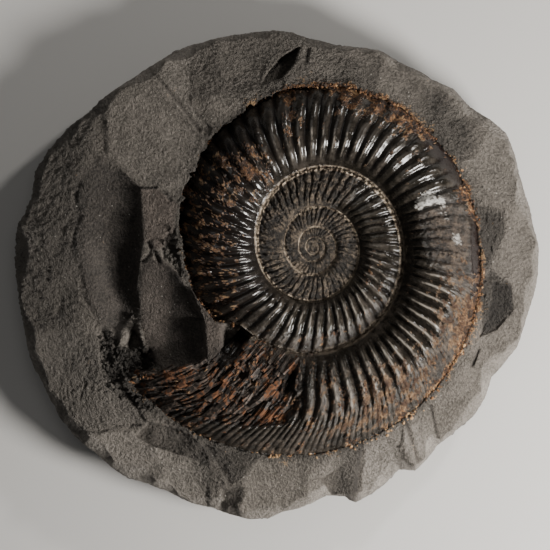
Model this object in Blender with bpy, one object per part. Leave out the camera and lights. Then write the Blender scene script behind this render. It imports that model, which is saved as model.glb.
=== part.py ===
"""An ammonite in the half nodule of rock that it was split out of, lying with the fossil upwards.

Two closed solids. The matrix is the nodule: a chipped, domed face with a pocket in it, a side that
rounds in below, and a flat underside. The ammonite sits in the pocket: a coil of ribbed whorls that
ends in a crushed body chamber. Both are lofts, because no section of either is like the next one:
the matrix through rings between the ammonite's edge and the nodule's rim, the ammonite through a
row of sections along its spiral.

Sizes are millimetres here and metres in the scene. +Z is up, and the nodule's box is centred on the
origin and stands on it. Places on the coil are given in turns, clockwise from the coil's -X side as
seen from above: the last whole whorl runs from turn 0, and whorls further in have negative turns.
"""
import math
from bisect import bisect

import bmesh
import bpy
from mathutils import Vector, noise

MM = 0.001
POCKET_GAP = 0.3              # clearance between the fossil and its pocket

# The nodule's rim seen from above, clockwise from the far side.
RIM = [
    (-1.5, 84.0), (5.0, 83.5), (11.0, 81.5), (20.5, 79.0), (31.5, 77.5), (36.5, 76.5), (42.0, 73.0),
    (49.0, 70.0), (53.0, 67.0), (60.5, 64.0), (66.5, 58.0), (73.5, 53.0), (78.5, 48.5), (81.0, 42.5),
    (83.0, 35.5), (85.5, 27.0), (87.5, 21.0), (88.0, 17.5), (90.0, 10.0), (89.5, -1.0), (88.0, -8.0),
    (85.5, -16.5), (82.5, -24.5), (78.5, -29.5), (73.5, -35.0), (71.5, -42.0), (68.0, -48.0),
    (62.5, -52.5), (55.0, -58.5), (51.0, -63.5), (47.5, -67.0), (42.0, -67.0), (38.5, -70.5),
    (32.5, -75.5), (27.0, -78.0), (23.5, -76.0), (17.0, -75.5), (12.0, -78.0), (7.0, -80.0),
    (1.0, -81.5), (-3.5, -83.5), (-9.5, -84.0), (-16.0, -82.5), (-22.0, -80.5), (-29.5, -79.0),
    (-37.5, -74.5), (-44.5, -71.5), (-52.0, -69.0), (-57.0, -66.0), (-63.0, -61.0), (-69.5, -55.5),
    (-75.0, -49.0), (-79.5, -39.5), (-83.5, -31.0), (-86.5, -20.0), (-89.0, -9.0), (-90.0, -1.0),
    (-89.5, 10.0), (-89.0, 17.5), (-86.5, 21.0), (-84.5, 27.0), (-82.5, 35.5), (-78.5, 42.5),
    (-72.5, 50.0), (-65.0, 56.0), (-58.0, 62.0), (-49.5, 67.5), (-44.0, 71.5), (-37.5, 75.5),
    (-28.5, 79.5), (-20.5, 81.5), (-11.0, 83.0),
]
RIM_HEIGHT = 17.0
SIDE = [(0.0, 0.66), (2.2, 0.81), (6.0, 0.92), (10.5, 0.98), (14.5, 1.0)]    # height, size of ring
DOME_RISE = 16.0              # of the face from the rim to the coil's centre
DOME_POWER = 0.6
FACE_ROWS = [0.0, 0.05, 0.16, 0.3, 0.44, 0.58, 0.72, 0.86, 1.0]     # from the rim to the ammonite
ROUGHNESS = 0.7
ROUGHNESS_SCALE = 8.0
# Shallow bowls that blows have left in the face: where, depth, and radius of the bowl.
FLAKES = [
    (-46.0, 46.0, 1.6, 160.0), (-74.0, -40.0, 1.2, 90.0), (-20.0, -75.0, 1.4, 70.0),
    (34.0, -70.0, 1.5, 60.0), (58.0, -50.0, 1.6, 70.0), (76.0, -8.0, 2.4, 40.0),
    (74.0, 38.0, 1.2, 70.0), (50.0, 65.0, 1.0, 90.0), (-6.0, 74.0, 1.3, 80.0),
]
# Hollows: where, how long and wide, how deep. The long one lies between the -X rim and the plates,
# the other is the gap left where the body chamber broke away from the whorl inside it.
HOLLOWS = [(-57.5, 12.0, 13.0, 31.0, 6.5), (-15.5, -23.5, 6.5, 9.0, 9.0)]
PLATE_X = -47.5               # the edge of the raised plates that stand beside the ammonite
PLATE_ENDS = (-32.5, 29.5)
PLATE_RISE = 3.6
PLATE_SLOPE = 1.5

# The ammonite's coil.
COIL_AT = (12.35, 9.45)
# Radius at turn 0, growth in one turn, then size and place of the two waves that make it oval.
SEAM_SPIRAL = (21.3, 1.968, 0.064, 0.441, 0.043, 0.268)
EDGE_SPIRAL = (45.0, 1.859, 0.054, 0.111, 0.025, 0.227)
FIRST_TURN = -3.0
LAST_TURN = 0.866             # the body chamber is broken off here
BARE_TURNS = 0.035            # the whorl inside it comes free of it over this stretch
SEAM_CREASE = 0.006           # half width of the crease between two whorls, in radii
ROWS_IN_WHORL = {-3: 2, -2: 3, -1: 5, 0: 7}

# Heights across a whorl, as shares of the rise of its highest line above the shell's middle plane.
MID_HEIGHT = 24.0
WHORL_RISE = 13.0             # at three quarters of a turn; it doubles in every turn
FIRST_CHAMBER_RISE = 1.6
CREST_ACROSS = 0.45           # place of the highest line between the whorl's inner and outer edges
SEAM_SHARE = 0.31
COVERED_SHARE = 2 * SEAM_SHARE    # the next whorl's seam, seen from this one
FREE_SHARE = 0.24
ROUNDNESS = 2.2
EDGE_DIP = 1.2                # the shell's free edge stays this far below the rock around it

# Ribs: how many there would be in a whole turn, at the turns given.
RIBS_PER_TURN = [(-1.2, 46.0), (-1.0, 49.0), (0.1, 49.0), (0.35, 62.0), (0.6, 76.0)]
RIB_HEIGHT = 0.034            # from a groove to a crest, in radii
INNER_LEAN = 0.017            # turns by which a rib runs forward on the inner whorls' flanks
OUTER_LEAN = [(-0.1, 0.0), (0.2, 0.006), (0.45, 0.007), (0.65, 0.024), (LAST_TURN, 0.039)]
CRUSHED_FROM = 0.755
CRUSHED_DROP = 3.2
CRUSHED_RIBS = 2.2            # height of the crushed part's splinters, in ribs

# The pocket's wall is upright down to the bend, then slopes in to a flat floor.
POCKET_BEND = 20.0
POCKET_FLOOR = 14.0
POCKET_FLOOR_SIZE = 0.9
FAN_POWER = 0.75              # spreads the matrix's rows round the concave corner at the broken end

COLLECTION = "ammonite_fossil"


def ease(value, start, end):
    """Go smoothly from 0 at start to 1 at end."""
    share = min(max((value - start) / (end - start), 0.0), 1.0)
    return share * share * (3.0 - 2.0 * share)


def between(knots, value):
    """Read a value off straight lines between (place, value) knots."""
    after = min(max(bisect(knots, (value, 0.0)), 1), len(knots) - 1)
    (start, low), (end, high) = knots[after - 1:after + 1]
    return low + (high - low) * min(max((value - start) / (end - start), 0.0), 1.0)


def spiral(turn, start, growth, wave, wave_at, second_wave, second_wave_at):
    """Radius of a spiral that grows by the same factor in every turn and is a little oval."""
    wobble = wave * math.cos(2 * math.pi * (turn - wave_at))
    wobble += second_wave * math.cos(4 * math.pi * (turn - second_wave_at))
    return start * growth ** turn * (1.0 + wobble)


def place(turn, radius):
    """Point of the plan at a turn and a radius of the coil."""
    angle = 2 * math.pi * turn
    return COIL_AT[0] - radius * math.cos(angle), COIL_AT[1] + radius * math.sin(angle)


def coil_polar(x, y):
    """Turn, from 0 to 1, and radius of a point of the plan."""
    dx, dy = COIL_AT[0] - x, y - COIL_AT[1]
    return math.atan2(dy, dx) / (2 * math.pi) % 1.0, math.hypot(dx, dy)


def rim_by_turn():
    """The rim's radius round the coil's centre, as knots that reach a little past one turn."""
    knots = sorted(coil_polar(x, y) for x, y in RIM)
    (first, first_radius), (last, last_radius) = knots[0], knots[-1]
    return [(last - 1.0, last_radius), *knots, (first + 1.0, first_radius)]


RIM_RADIUS = rim_by_turn()


def dome_height(x, y):
    """Height of the face before anything was broken off it."""
    turn, radius = coil_polar(x, y)
    across = min(radius / between(RIM_RADIUS, turn), 1.0)
    return RIM_HEIGHT + DOME_RISE * (1.0 - across ** 2) ** DOME_POWER


def face_height(x, y):
    """Height of the nodule's upper face."""
    height = dome_height(x, y)
    for flake_x, flake_y, depth, bowl in FLAKES:
        away = math.hypot(x - flake_x, y - flake_y)
        height = min(height, dome_height(flake_x, flake_y) - depth + away ** 2 / (2 * bowl))
    for hollow_x, hollow_y, half_width, half_length, depth in HOLLOWS:
        reach = math.hypot((x - hollow_x) / half_width, (y - hollow_y) / half_length)
        height -= depth * (1.0 - ease(reach, 0.0, 1.0))
    on_plate = ease(x, PLATE_X - PLATE_SLOPE, PLATE_X + PLATE_SLOPE)
    for end, side in zip(PLATE_ENDS, (1, -1)):
        on_plate *= ease(side * (y - end), -PLATE_SLOPE, PLATE_SLOPE)
    height += PLATE_RISE * on_plate
    return height + ROUGHNESS * noise.noise(Vector((x, y, 0.0)) / ROUGHNESS_SCALE)


def is_free(turn):
    """How far the shell's own edge shows, from 0 where the next whorl hides it to 1."""
    return ease(turn, LAST_TURN - 1.0, LAST_TURN - 1.0 + BARE_TURNS)


def outer_radius(turn):
    """Radius of a whorl's outer edge: the next whorl's seam, or its own edge where none covers it."""
    covered = spiral(turn + 1.0, *SEAM_SPIRAL) * (1.0 - SEAM_CREASE)
    return covered + (spiral(turn, *EDGE_SPIRAL) - covered) * is_free(turn)


def rib_lean(turn, across):
    """Turns by which a rib has run forward at a place across its whorl."""
    on_flank = INNER_LEAN * across * (1.0 - ease(turn, -0.1, 0.2))
    return on_flank + between(OUTER_LEAN, turn) * ease(across, 0.3, 1.0)


def whorl_point(turn, across, side):
    """Point of the shell's surface; side is 1 on a rib's crest and -1 in a groove."""
    leaned = turn + rib_lean(turn, across)
    inner = spiral(leaned, *SEAM_SPIRAL) * (1.0 + SEAM_CREASE)
    radius = inner + across * (outer_radius(leaned) - inner)
    x, y = place(leaned, radius)
    rise = WHORL_RISE * 2.0 ** (leaned - 0.75)
    if across < CREST_ACROSS:
        from_crest = 1.0 - across / CREST_ACROSS
        edge = SEAM_SHARE * rise
    else:
        from_crest = (across - CREST_ACROSS) / (1.0 - CREST_ACROSS)
        free_edge = min(FREE_SHARE * rise, face_height(x, y) - EDGE_DIP - MID_HEIGHT)
        edge = COVERED_SHARE * rise + (free_edge - COVERED_SHARE * rise) * is_free(leaned)
    height = rise + (edge - rise) * from_crest ** ROUNDNESS
    crushed = ease(turn, CRUSHED_FROM - 0.03, CRUSHED_FROM + 0.03) * math.sin(math.pi * across)
    ribbed = ease(across, 0.0, 0.3) * (1.0 - 0.6 * ease(across, 0.75, 1.0))
    ribbed *= 1.0 + (CRUSHED_RIBS - 1.0) * crushed
    height += 0.5 * side * RIB_HEIGHT * radius * ribbed - CRUSHED_DROP * crushed
    return x, y, MID_HEIGHT + height


def section_turns():
    """Turns of the sections: one in each groove and one on each crest."""
    turns = [FIRST_TURN]
    while turns[-1] < LAST_TURN:
        turns.append(turns[-1] + 0.5 / between(RIBS_PER_TURN, turns[-1]))
    turns[-1] = LAST_TURN
    return turns


def section(index, turn):
    """Points across one whorl, from its seam to its outer edge."""
    rows = ROWS_IN_WHORL[math.floor(turn)]
    side = 1 if index % 2 else -1
    return [whorl_point(turn, row / rows, side) for row in range(rows + 1)]


def edge_of(turns, columns):
    """The open edge of the coil's surface, given its sections as columns of anything.

    The first list runs clockwise along the last whorl's own edge. The second runs on in along the
    broken end and round the edge of the whorl that is bare beyond it, back to the first.
    """
    covered = sum(turn + rib_lean(turn, 1.0) <= LAST_TURN - 1.0 for turn in turns) - 1
    last_whorl = sum(turn < 0.0 for turn in turns)
    outer = [column[-1] for column in columns]
    return outer[last_whorl:], columns[-1][-2::-1] + outer[covered:last_whorl]


def widened(points, margin):
    """Move each point of a clockwise outline outwards, square to its neighbours' chord."""
    moved = []
    for i, (x, y, z) in enumerate(points):
        before, after = points[i - 1], points[(i + 1) % len(points)]
        along = Vector((after[0] - before[0], after[1] - before[1])).normalized()
        moved.append((x - margin * along.y, y + margin * along.x, z))
    return moved


def at_height(points, height, size=1.0):
    """An outline at one height, drawn in towards the coil's centre."""
    return [(COIL_AT[0] + size * (x - COIL_AT[0]), COIL_AT[1] + size * (y - COIL_AT[1]), height)
            for x, y, z in points]


def add_points(mesh, points):
    return [mesh.verts.new([value * MM for value in point]) for point in points]


def spaced(column):
    """Give each vertex of a section its place across the whorl, from 0 to 1."""
    return [(i / (len(column) - 1), vertex) for i, vertex in enumerate(column)]


def join_rows(mesh, near, far):
    """Fill the strip between two rows of (place, vertex), which may differ in number."""
    i = j = 0
    while i < len(near) - 1 or j < len(far) - 1:
        near_is_next = j == len(far) - 1
        if i < len(near) - 1 and j < len(far) - 1:
            near_is_next = near[i + 1][0] + near[i][0] < far[j + 1][0] + far[j][0]
        if near_is_next:
            mesh.faces.new((near[i][1], near[i + 1][1], far[j][1]))
            i += 1
        else:
            mesh.faces.new((near[i][1], far[j + 1][1], far[j][1]))
            j += 1


def join_rings(mesh, rings):
    """Fill the bands between closed rings that have the same number of vertices."""
    for lower, upper in zip(rings, rings[1:]):
        for i in range(len(lower)):
            mesh.faces.new((lower[i - 1], lower[i], upper[i], upper[i - 1]))


def finish_solid(mesh, name, collection, colour, roughness):
    """Make the closed surface a named object with its own material."""
    bmesh.ops.triangulate(mesh, faces=mesh.faces[:])
    bmesh.ops.recalc_face_normals(mesh, faces=mesh.faces[:])
    data = bpy.data.meshes.new(name)
    mesh.to_mesh(data)
    mesh.free()
    material = bpy.data.materials.new(name + "_stone")
    material.use_nodes = True
    shader = material.node_tree.nodes["Principled BSDF"]
    shader.inputs["Base Color"].default_value = (*colour, 1.0)
    shader.inputs["Roughness"].default_value = roughness
    shader.inputs["Metallic"].default_value = 0.0
    data.materials.append(material)
    solid = bpy.data.objects.new(name, data)
    collection.objects.link(solid)
    return solid


def rim_turns(outer, inner):
    """Turns at which the rows from the points of the edge meet the rim, always further clockwise."""
    turns = [coil_polar(x, y)[0] for x, y, z in outer]
    lengths = [0.0]
    for start, end in zip([outer[-1]] + inner, inner + [outer[0]]):
        lengths.append(lengths[-1] + math.dist(start[:2], end[:2]))
    tip, left = turns[-1], turns[0] + 1.0 - turns[-1]
    return turns + [tip + left * (length / lengths[-1]) ** FAN_POWER for length in lengths[1:-1]]


def make_matrix(collection):
    """The nodule: rings up its side, in across its face and down into the pocket."""
    turns = section_turns()
    outer, inner = edge_of(turns, [section(i, turn) for i, turn in enumerate(turns)])
    pocket = widened(outer + inner, POCKET_GAP)
    rim = [place(turn, between(RIM_RADIUS, turn % 1.0)) for turn in rim_turns(outer, inner)]
    rings = [[(x * size, y * size, height) for x, y in rim] for height, size in SIDE]
    for share in FACE_ROWS:
        row = [(x + share * (inner_x - x), y + share * (inner_y - y))
               for (x, y), (inner_x, inner_y, z) in zip(rim, pocket)]
        rings.append([(x, y, face_height(x, y)) for x, y in row])
    rings.append(at_height(pocket, POCKET_BEND))
    rings.append(at_height(pocket, POCKET_FLOOR, POCKET_FLOOR_SIZE))
    mesh = bmesh.new()
    rings = [add_points(mesh, ring) for ring in rings]
    join_rings(mesh, rings)
    mesh.faces.new(rings[0])
    mesh.faces.new(rings[-1])
    return finish_solid(mesh, "matrix", collection, (0.17, 0.16, 0.145), 0.85)


def make_ammonite(collection):
    """The shell: sections joined along the coil, whorl joined to whorl, and a plain buried half."""
    mesh = bmesh.new()
    turns = section_turns()
    columns = [add_points(mesh, section(i, turn)) for i, turn in enumerate(turns)]
    for near, far in zip(columns, columns[1:]):
        join_rows(mesh, spaced(near), spaced(far))
    # The seam between each whorl and the next one out.
    covered = [(turn + rib_lean(turn, 1.0), column[-1]) for turn, column in zip(turns, columns)]
    covered = [(turn + 1.0, vertex) for turn, vertex in covered if turn + 1.0 <= LAST_TURN]
    covering = [(turn, column[0]) for turn, column in zip(turns, columns) if turn >= FIRST_TURN + 1.0]
    join_rows(mesh, covered, covering)
    # The first chamber closes the coil's middle.
    first_whorl = len(columns) - len(covering) + 1
    middle = [column[0] for column in columns[:first_whorl]] + columns[0][:0:-1]
    centre = add_points(mesh, [(*COIL_AT, MID_HEIGHT + FIRST_CHAMBER_RISE)])[0]
    for i, vertex in enumerate(middle):
        mesh.faces.new((middle[i - 1], vertex, centre))
    # The buried half is a plain plug under the open edge.
    outer, inner = edge_of(turns, columns)
    edge = outer + inner
    points = [vertex.co / MM for vertex in edge]
    bend = add_points(mesh, at_height(points, POCKET_BEND))
    floor = add_points(mesh, at_height(points, POCKET_FLOOR + POCKET_GAP, POCKET_FLOOR_SIZE))
    join_rings(mesh, [floor, bend, edge])
    mesh.faces.new(floor)
    return finish_solid(mesh, "ammonite", collection, (0.06, 0.05, 0.04), 0.4)


def main():
    for existing in list(bpy.data.objects):
        bpy.data.objects.remove(existing, do_unlink=True)
    collection = bpy.data.collections.new(COLLECTION)
    bpy.context.scene.collection.children.link(collection)
    make_matrix(collection)
    make_ammonite(collection)


main()
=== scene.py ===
"""An ammonite lying in the chipped face of a rock nodule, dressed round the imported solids."""
import math

import bpy
import numpy as np
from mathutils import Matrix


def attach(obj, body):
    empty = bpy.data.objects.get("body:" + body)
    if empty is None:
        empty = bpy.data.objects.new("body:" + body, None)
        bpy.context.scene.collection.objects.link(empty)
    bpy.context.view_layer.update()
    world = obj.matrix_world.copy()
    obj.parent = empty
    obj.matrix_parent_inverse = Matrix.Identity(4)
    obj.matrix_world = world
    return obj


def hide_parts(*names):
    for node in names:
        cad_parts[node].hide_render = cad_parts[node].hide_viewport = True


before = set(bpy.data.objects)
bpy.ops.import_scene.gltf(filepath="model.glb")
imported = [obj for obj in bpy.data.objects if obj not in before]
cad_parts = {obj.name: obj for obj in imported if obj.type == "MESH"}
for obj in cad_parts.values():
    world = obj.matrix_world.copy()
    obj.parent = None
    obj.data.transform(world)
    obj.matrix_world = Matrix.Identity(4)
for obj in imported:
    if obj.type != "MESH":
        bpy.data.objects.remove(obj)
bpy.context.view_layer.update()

# ---------------------------------------------------------------------------------------------
# The ammonite's shell.
# One skin of dark, glossy shell over a stone filling: a spiral of four whorls, each overlapping the
# one inside it, with ribs that split in three near the outer edge. It was pressed in the rock, which
# crushed the body chamber at its end, and rust has grown where water came in along its edge.
# ---------------------------------------------------------------------------------------------

MM = 0.001
COIL_AT = (12.35, 9.45)                  # the coil's centre in plan, mm
MIDDLE_HEIGHT = 24.0                     # the plane that halves the shell

# Whorls from the middle outwards: first turn, sections in a turn, cells across.
WHORLS = [(-5.5, 110, 5), (-4.0, 170, 6), (-3.0, 270, 9), (-2.0, 430, 15), (-1.0, 640, 30), (0.0, 1050, 58)]
BROKEN_END = 0.866
BARE_FROM = BROKEN_END - 1.0             # beyond this turn no whorl covers the one inside
INNER_LEAN = 0.017                       # turns by which an inner rib runs forward across its whorl
# How many ribs there are up to a turn, counted from one of them.
RIB_COUNT = [
    (-5.5, -226.0), (-4.0, -182.0), (-3.0, -146.0), (-2.0, -104.0), (-1.0, -58.0), (-0.055, -11.4),
    (0.0, -8.7), (0.134, -2.0), (0.175, 0.0), (0.247, 4.0), (0.312, 8.0), (0.373, 12.0), (0.44, 16.0),
    (0.55, 24.0), (0.617, 29.0), (0.668, 33.0), (0.711, 36.0), (0.747, 38.5), (0.91, 50.0),
]


def join_rows(near, far):
    """Triangles between two rows of (place, vertex), which may differ in number."""
    triangles = []
    i = j = 0
    while i < len(near) - 1 or j < len(far) - 1:
        near_is_next = j == len(far) - 1
        if i < len(near) - 1 and not near_is_next:
            near_is_next = near[i + 1][0] + near[i][0] < far[j + 1][0] + far[j][0]
        if near_is_next:
            triangles.append((near[i][1], near[i + 1][1], far[j][1]))
            i += 1
        else:
            triangles.append((near[i][1], far[j + 1][1], far[j][1]))
            j += 1
    return triangles


def flat_shell():
    """The shell's skin laid out flat: x is the turn, y the place across, z how deep it is buried."""
    points, faces, columns = [], [], []
    for whorl, (first, per_turn, cells) in enumerate(WHORLS):
        last = WHORLS[whorl + 1][0] if whorl + 1 < len(WHORLS) else BROKEN_END
        sections = round((last - first) * per_turn)
        for i in range(sections if last < BROKEN_END else sections + 1):
            turn = first + i * (last - first) / sections
            columns.append([(j / cells, len(points) + j) for j in range(cells + 1)])
            points += [(turn, j / cells, 0.0) for j in range(cells + 1)]
    for near, far in zip(columns, columns[1:]):
        if len(near) == len(far):
            near, far = [vertex for across, vertex in near], [vertex for across, vertex in far]
            faces += zip(near, near[1:], far[1:], far)
        else:
            faces += join_rows(near, far)
    inner = [(points[column[0][1]][0], column[0][1]) for column in columns]
    outer = [(points[column[-1][1]][0] + INNER_LEAN, column[-1][1]) for column in columns]
    covered = [(turn + 1.0, vertex) for turn, vertex in outer if turn <= BARE_FROM]
    covering = [(turn, vertex) for turn, vertex in inner if turn >= WHORLS[0][0] + 1.0]
    faces += join_rows(covered, covering)
    # The first chamber is a fan round one point.
    middle = [vertex for turn, vertex in inner[:len(inner) - len(covering) + 1]]
    middle += [vertex for across, vertex in columns[0][:0:-1]]
    points.append((WHORLS[0][0] - 3.0, 0.0, 0.0))
    faces += [(middle[i - 1], middle[i], len(points) - 1) for i in range(len(middle))]
    # The open edge, from turn 0 out to the broken end, in along it and round the bare inner whorl.
    first_bare = len(covered) - 1
    last_whorl = sum(points[vertex][0] < 0.0 for turn, vertex in inner)
    edge = [vertex for turn, vertex in outer[last_whorl:]]
    tip = len(edge) - 1
    edge += [vertex for across, vertex in columns[-1][-2::-1]]
    edge += [vertex for turn, vertex in outer[first_bare:last_whorl]]
    rings = [edge]
    for depth in (1.0, 2.0):
        rings.append([len(points) + i for i in range(len(edge))])
        points += [(*points[vertex][:2], depth) for vertex in edge]
    for upper, lower in zip(rings, rings[1:]):
        faces += [(upper[i - 1], upper[i], lower[i], lower[i - 1]) for i in range(len(edge))]
    faces.append(rings[-1])
    return points, faces, edge, tip


class Value:
    """A number that changes over a surface: arithmetic on it adds Math nodes to its tree."""

    def __init__(self, graph, socket):
        self.graph, self.socket = graph, socket

    def math(self, operation, *others):
        return self.graph.node("ShaderNodeMath", {"operation": operation}, self, *others)

    def __add__(self, other):
        return self.math("ADD", other)

    def __sub__(self, other):
        return self.math("SUBTRACT", other)

    def __rsub__(self, other):
        return self.graph.node("ShaderNodeMath", {"operation": "SUBTRACT"}, other, self)

    def __mul__(self, other):
        return self.math("MULTIPLY", other)

    def __truediv__(self, other):
        return self.math("DIVIDE", other)

    def __pow__(self, other):
        return self.math("POWER", other)

    def __rpow__(self, other):
        return self.graph.node("ShaderNodeMath", {"operation": "POWER"}, other, self)

    __radd__ = __add__
    __rmul__ = __mul__

    def ease(self, start, end, low=0.0, high=1.0):
        """Go smoothly from low at start to high at end."""
        return self.graph.node("ShaderNodeMapRange", {"interpolation_type": "SMOOTHSTEP"},
                               self, start, end, low, high)

    def along(self, knots):
        """Read a number off straight lines between (place, number) knots."""
        places, numbers = zip(*knots)
        lowest, highest = min(numbers), max(numbers)
        points = [((place - places[0]) / (places[-1] - places[0]), (number - lowest) / (highest - lowest))
                  for place, number in knots]
        reached = self.graph.node("ShaderNodeMapRange", {}, self, places[0], places[-1], 0.0, 1.0)
        curve = self.graph.node("ShaderNodeFloatCurve", {"points": points}, 1.0, reached)
        return curve * (highest - lowest) + lowest

    def other(self, name):
        """Another output of the node that this number comes from."""
        return Value(self.graph, self.socket.node.outputs[name])


class Graph:
    """A node tree, of a material or of geometry, that is written as expressions."""

    def __init__(self, tree):
        self.tree = tree

    def node(self, kind, settings, *values, **named):
        """Add a node: its settings first, then its sockets' values or links, in order or by name."""
        node = self.tree.nodes.new(kind)
        for name, setting in settings.items():
            if name == "stops":
                while len(node.color_ramp.elements) < len(setting):
                    node.color_ramp.elements.new(1.0)
                for element, (place, colour) in zip(node.color_ramp.elements, setting):
                    element.position, element.color = place, (*colour, 1.0)
            elif name == "points":
                curve = node.mapping.curves[0]
                for place, number in setting[1:-1]:
                    curve.points.new(place, number)
                curve.points[0].location, curve.points[-1].location = setting[0], setting[-1]
                for point in curve.points:
                    point.handle_type = "VECTOR"
                node.mapping.update()
            else:
                setattr(node, name, setting)
        used = [socket for socket in node.inputs if socket.enabled]
        by_name = {socket.name: socket for socket in reversed(used)}
        sockets = list(zip(used, values))
        sockets += [(by_name[name.replace("_", " ")], value) for name, value in named.items()]
        for socket, value in sockets:
            if isinstance(value, Value):
                self.link(value, socket)
            elif value is not None:
                socket.default_value = value
        outputs = [socket for socket in node.outputs if socket.enabled]
        return Value(self, outputs[0]) if outputs else node

    def attribute(self, name):
        """A number that the geometry's points carry."""
        if self.tree.bl_idname == "GeometryNodeTree":
            return self.node("GeometryNodeInputNamedAttribute", {"data_type": "FLOAT"}, name)
        return self.node("ShaderNodeAttribute", {"attribute_name": name}).other("Fac")

    def store(self, geometry, name, value, domain="POINT"):
        """Keep a number on the geometry, for its material."""
        return self.node("GeometryNodeStoreNamedAttribute", {"data_type": "FLOAT", "domain": domain},
                         geometry, Name=name, Value=value)

    def link(self, value, socket):
        self.tree.links.new(value.socket, socket)

    def vector(self, x, y, z=0.0):
        return self.node("ShaderNodeCombineXYZ", {}, x, y, z)

    def points(self):
        """X of each point of the geometry, with Y and Z as its node's other outputs."""
        return self.node("ShaderNodeSeparateXYZ", {}, self.node("GeometryNodeInputPosition", {}))

    def place(self):
        """Where each spot of a surface lies on its object."""
        return self.node("ShaderNodeTexCoord", {}).other("Object")

    def random(self, seed, low, high):
        """A random number, or vector if low is one, for each point."""
        kind = "FLOAT_VECTOR" if isinstance(low, tuple) else "FLOAT"
        return self.node("FunctionNodeRandomValue", {"data_type": kind}, low, high, Seed=seed)

    def noise(self, place, scale, detail=3.0, roughness=0.5):
        """Soft noise from -0.5 to 0.5."""
        return self.node("ShaderNodeTexNoise", {}, Vector=place, Scale=scale, Detail=detail,
                         Roughness=roughness) - 0.5


def geometry_graph(name, sizes):
    """A geometry tree with named inputs for its sizes, and those inputs as values."""
    tree = bpy.data.node_groups.new(name, "GeometryNodeTree")
    tree.interface.new_socket("Geometry", in_out="INPUT", socket_type="NodeSocketGeometry")
    tree.interface.new_socket("Geometry", in_out="OUTPUT", socket_type="NodeSocketGeometry")
    for size in sizes:
        tree.interface.new_socket(size, in_out="INPUT", socket_type="NodeSocketFloat")
    graph = Graph(tree)
    source = tree.nodes.new("NodeGroupInput")
    return graph, {socket.name: Value(graph, socket) for socket in source.outputs if socket.name}


def finish_graph(graph, geometry, material):
    """End a geometry tree: real geometry only, with its material."""
    real = graph.node("GeometryNodeRealizeInstances", {}, geometry)
    made = graph.node("GeometryNodeSetMaterial", {}, real, None, material)
    graph.node("NodeGroupOutput", {}, made)


def added(name, data):
    """A new object in the scene."""
    thing = bpy.data.objects.new(name, data)
    bpy.context.scene.collection.objects.link(thing)
    return thing


def grown(name, mesh, graph, sizes):
    """Run a geometry tree on a mesh and keep the result as a plain object."""
    source = added(name + "_source", mesh)
    modifier = source.modifiers.new("grow", "NODES")
    modifier.node_group = graph.tree
    for item in graph.tree.interface.items_tree:
        if item.in_out == "INPUT" and item.name in sizes:
            modifier[item.identifier] = sizes[item.name]
    shown = source.evaluated_get(bpy.context.evaluated_depsgraph_get())
    result = bpy.data.meshes.new_from_object(shown)
    result.name = name
    bpy.data.objects.remove(source)
    return added(name, result)


def spiral(turn, start, growth, wave, wave_at, second_wave, second_wave_at):
    """Radius of a spiral that grows by the same factor in every turn and is a little oval."""
    angle = turn * (2 * math.pi)
    wobble = (angle - 2 * math.pi * wave_at).math("COSINE") * wave
    wobble = wobble + (angle * 2.0 - 4 * math.pi * second_wave_at).math("COSINE") * second_wave
    return start * growth ** turn * (1.0 + wobble)


def patches(turn, across, spots):
    """How far a point lies in any of the soft oval spots: (turn, across, half sizes, strength)."""
    total = 0.0
    for spot_turn, spot_across, half_turn, half_across, strength in spots:
        away = ((turn - spot_turn) / half_turn) ** 2.0 + ((across - spot_across) / half_across) ** 2.0
        total = away.ease(1.6, 0.0) * strength + total
    return total


# Oval wobbles of the seam's and the outer edge's spirals: size and turn of one and of two waves.
SEAM_WAVE = (0.064, 0.441, 0.043, 0.268)
EDGE_WAVE = (0.054, 0.111, 0.025, 0.227)
# Radii of the two spirals at turn 0 and how much they grow in a turn, and how high the flank rises, mm.
COIL_SIZES = {"Seam radius": 21.3, "Seam growth": 1.968, "Edge radius": 45.0, "Edge growth": 1.859,
              "Whorl rise": 13.0}
# Rust: thick at these places, as (turn, across, half sizes, strength).
RUST_SPOTS = [
    (0.30, 0.9, 0.045, 0.2, 1.0), (0.355, 0.9, 0.03, 0.2, 0.8), (0.445, 0.93, 0.02, 0.12, 1.0),
    (0.61, 0.92, 0.09, 0.2, 0.55), (0.155, 0.36, 0.03, 0.3, 0.9), (0.22, 0.62, 0.02, 0.4, 0.75),
    (0.11, 0.6, 0.035, 0.35, 0.6), (0.05, 0.85, 0.06, 0.2, 0.25), (0.02, 0.6, 0.03, 0.3, 0.25),
    (0.565, 0.94, 0.025, 0.12, 0.9), (-0.06, 0.85, 0.09, 0.25, 0.3), (0.72, 0.5, 0.07, 0.5, 0.5),
    (-0.45, 0.5, 0.08, 0.4, 0.45), (-0.3, 0.8, 0.1, 0.3, 0.4), (0.84, 0.5, 0.08, 0.8, 0.5),
]
# How rusty the shell's outer edge is, by turn.
EDGE_RUST = [(0.0, 0.35), (0.1, 0.2), (0.18, 0.35), (0.22, 0.9), (0.33, 1.0), (0.37, 0.5), (0.4, 0.4),
             (0.44, 0.85), (0.5, 0.45), (0.54, 1.0), (0.6, 0.8), (0.66, 0.5), (0.71, 0.5), (0.76, 0.55),
             (0.8, 0.2), (0.905, 0.3)]
# Pale flecks, and a fine grit that fills the ribs of the inner whorls.
FLECK_SPOTS = [(0.62, 0.75, 0.1, 0.4, 0.75), (0.7, 0.6, 0.08, 0.4, 0.75), (0.54, 0.8, 0.06, 0.4, 0.7),
               (0.05, 0.4, 0.1, 0.4, 0.2), (0.38, 0.35, 0.08, 0.4, 0.4)]
GRIT_SPOTS = [(-0.8, 0.5, 0.16, 0.9, 1.0), (-0.98, 0.5, 0.12, 0.9, 0.8)]
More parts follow.
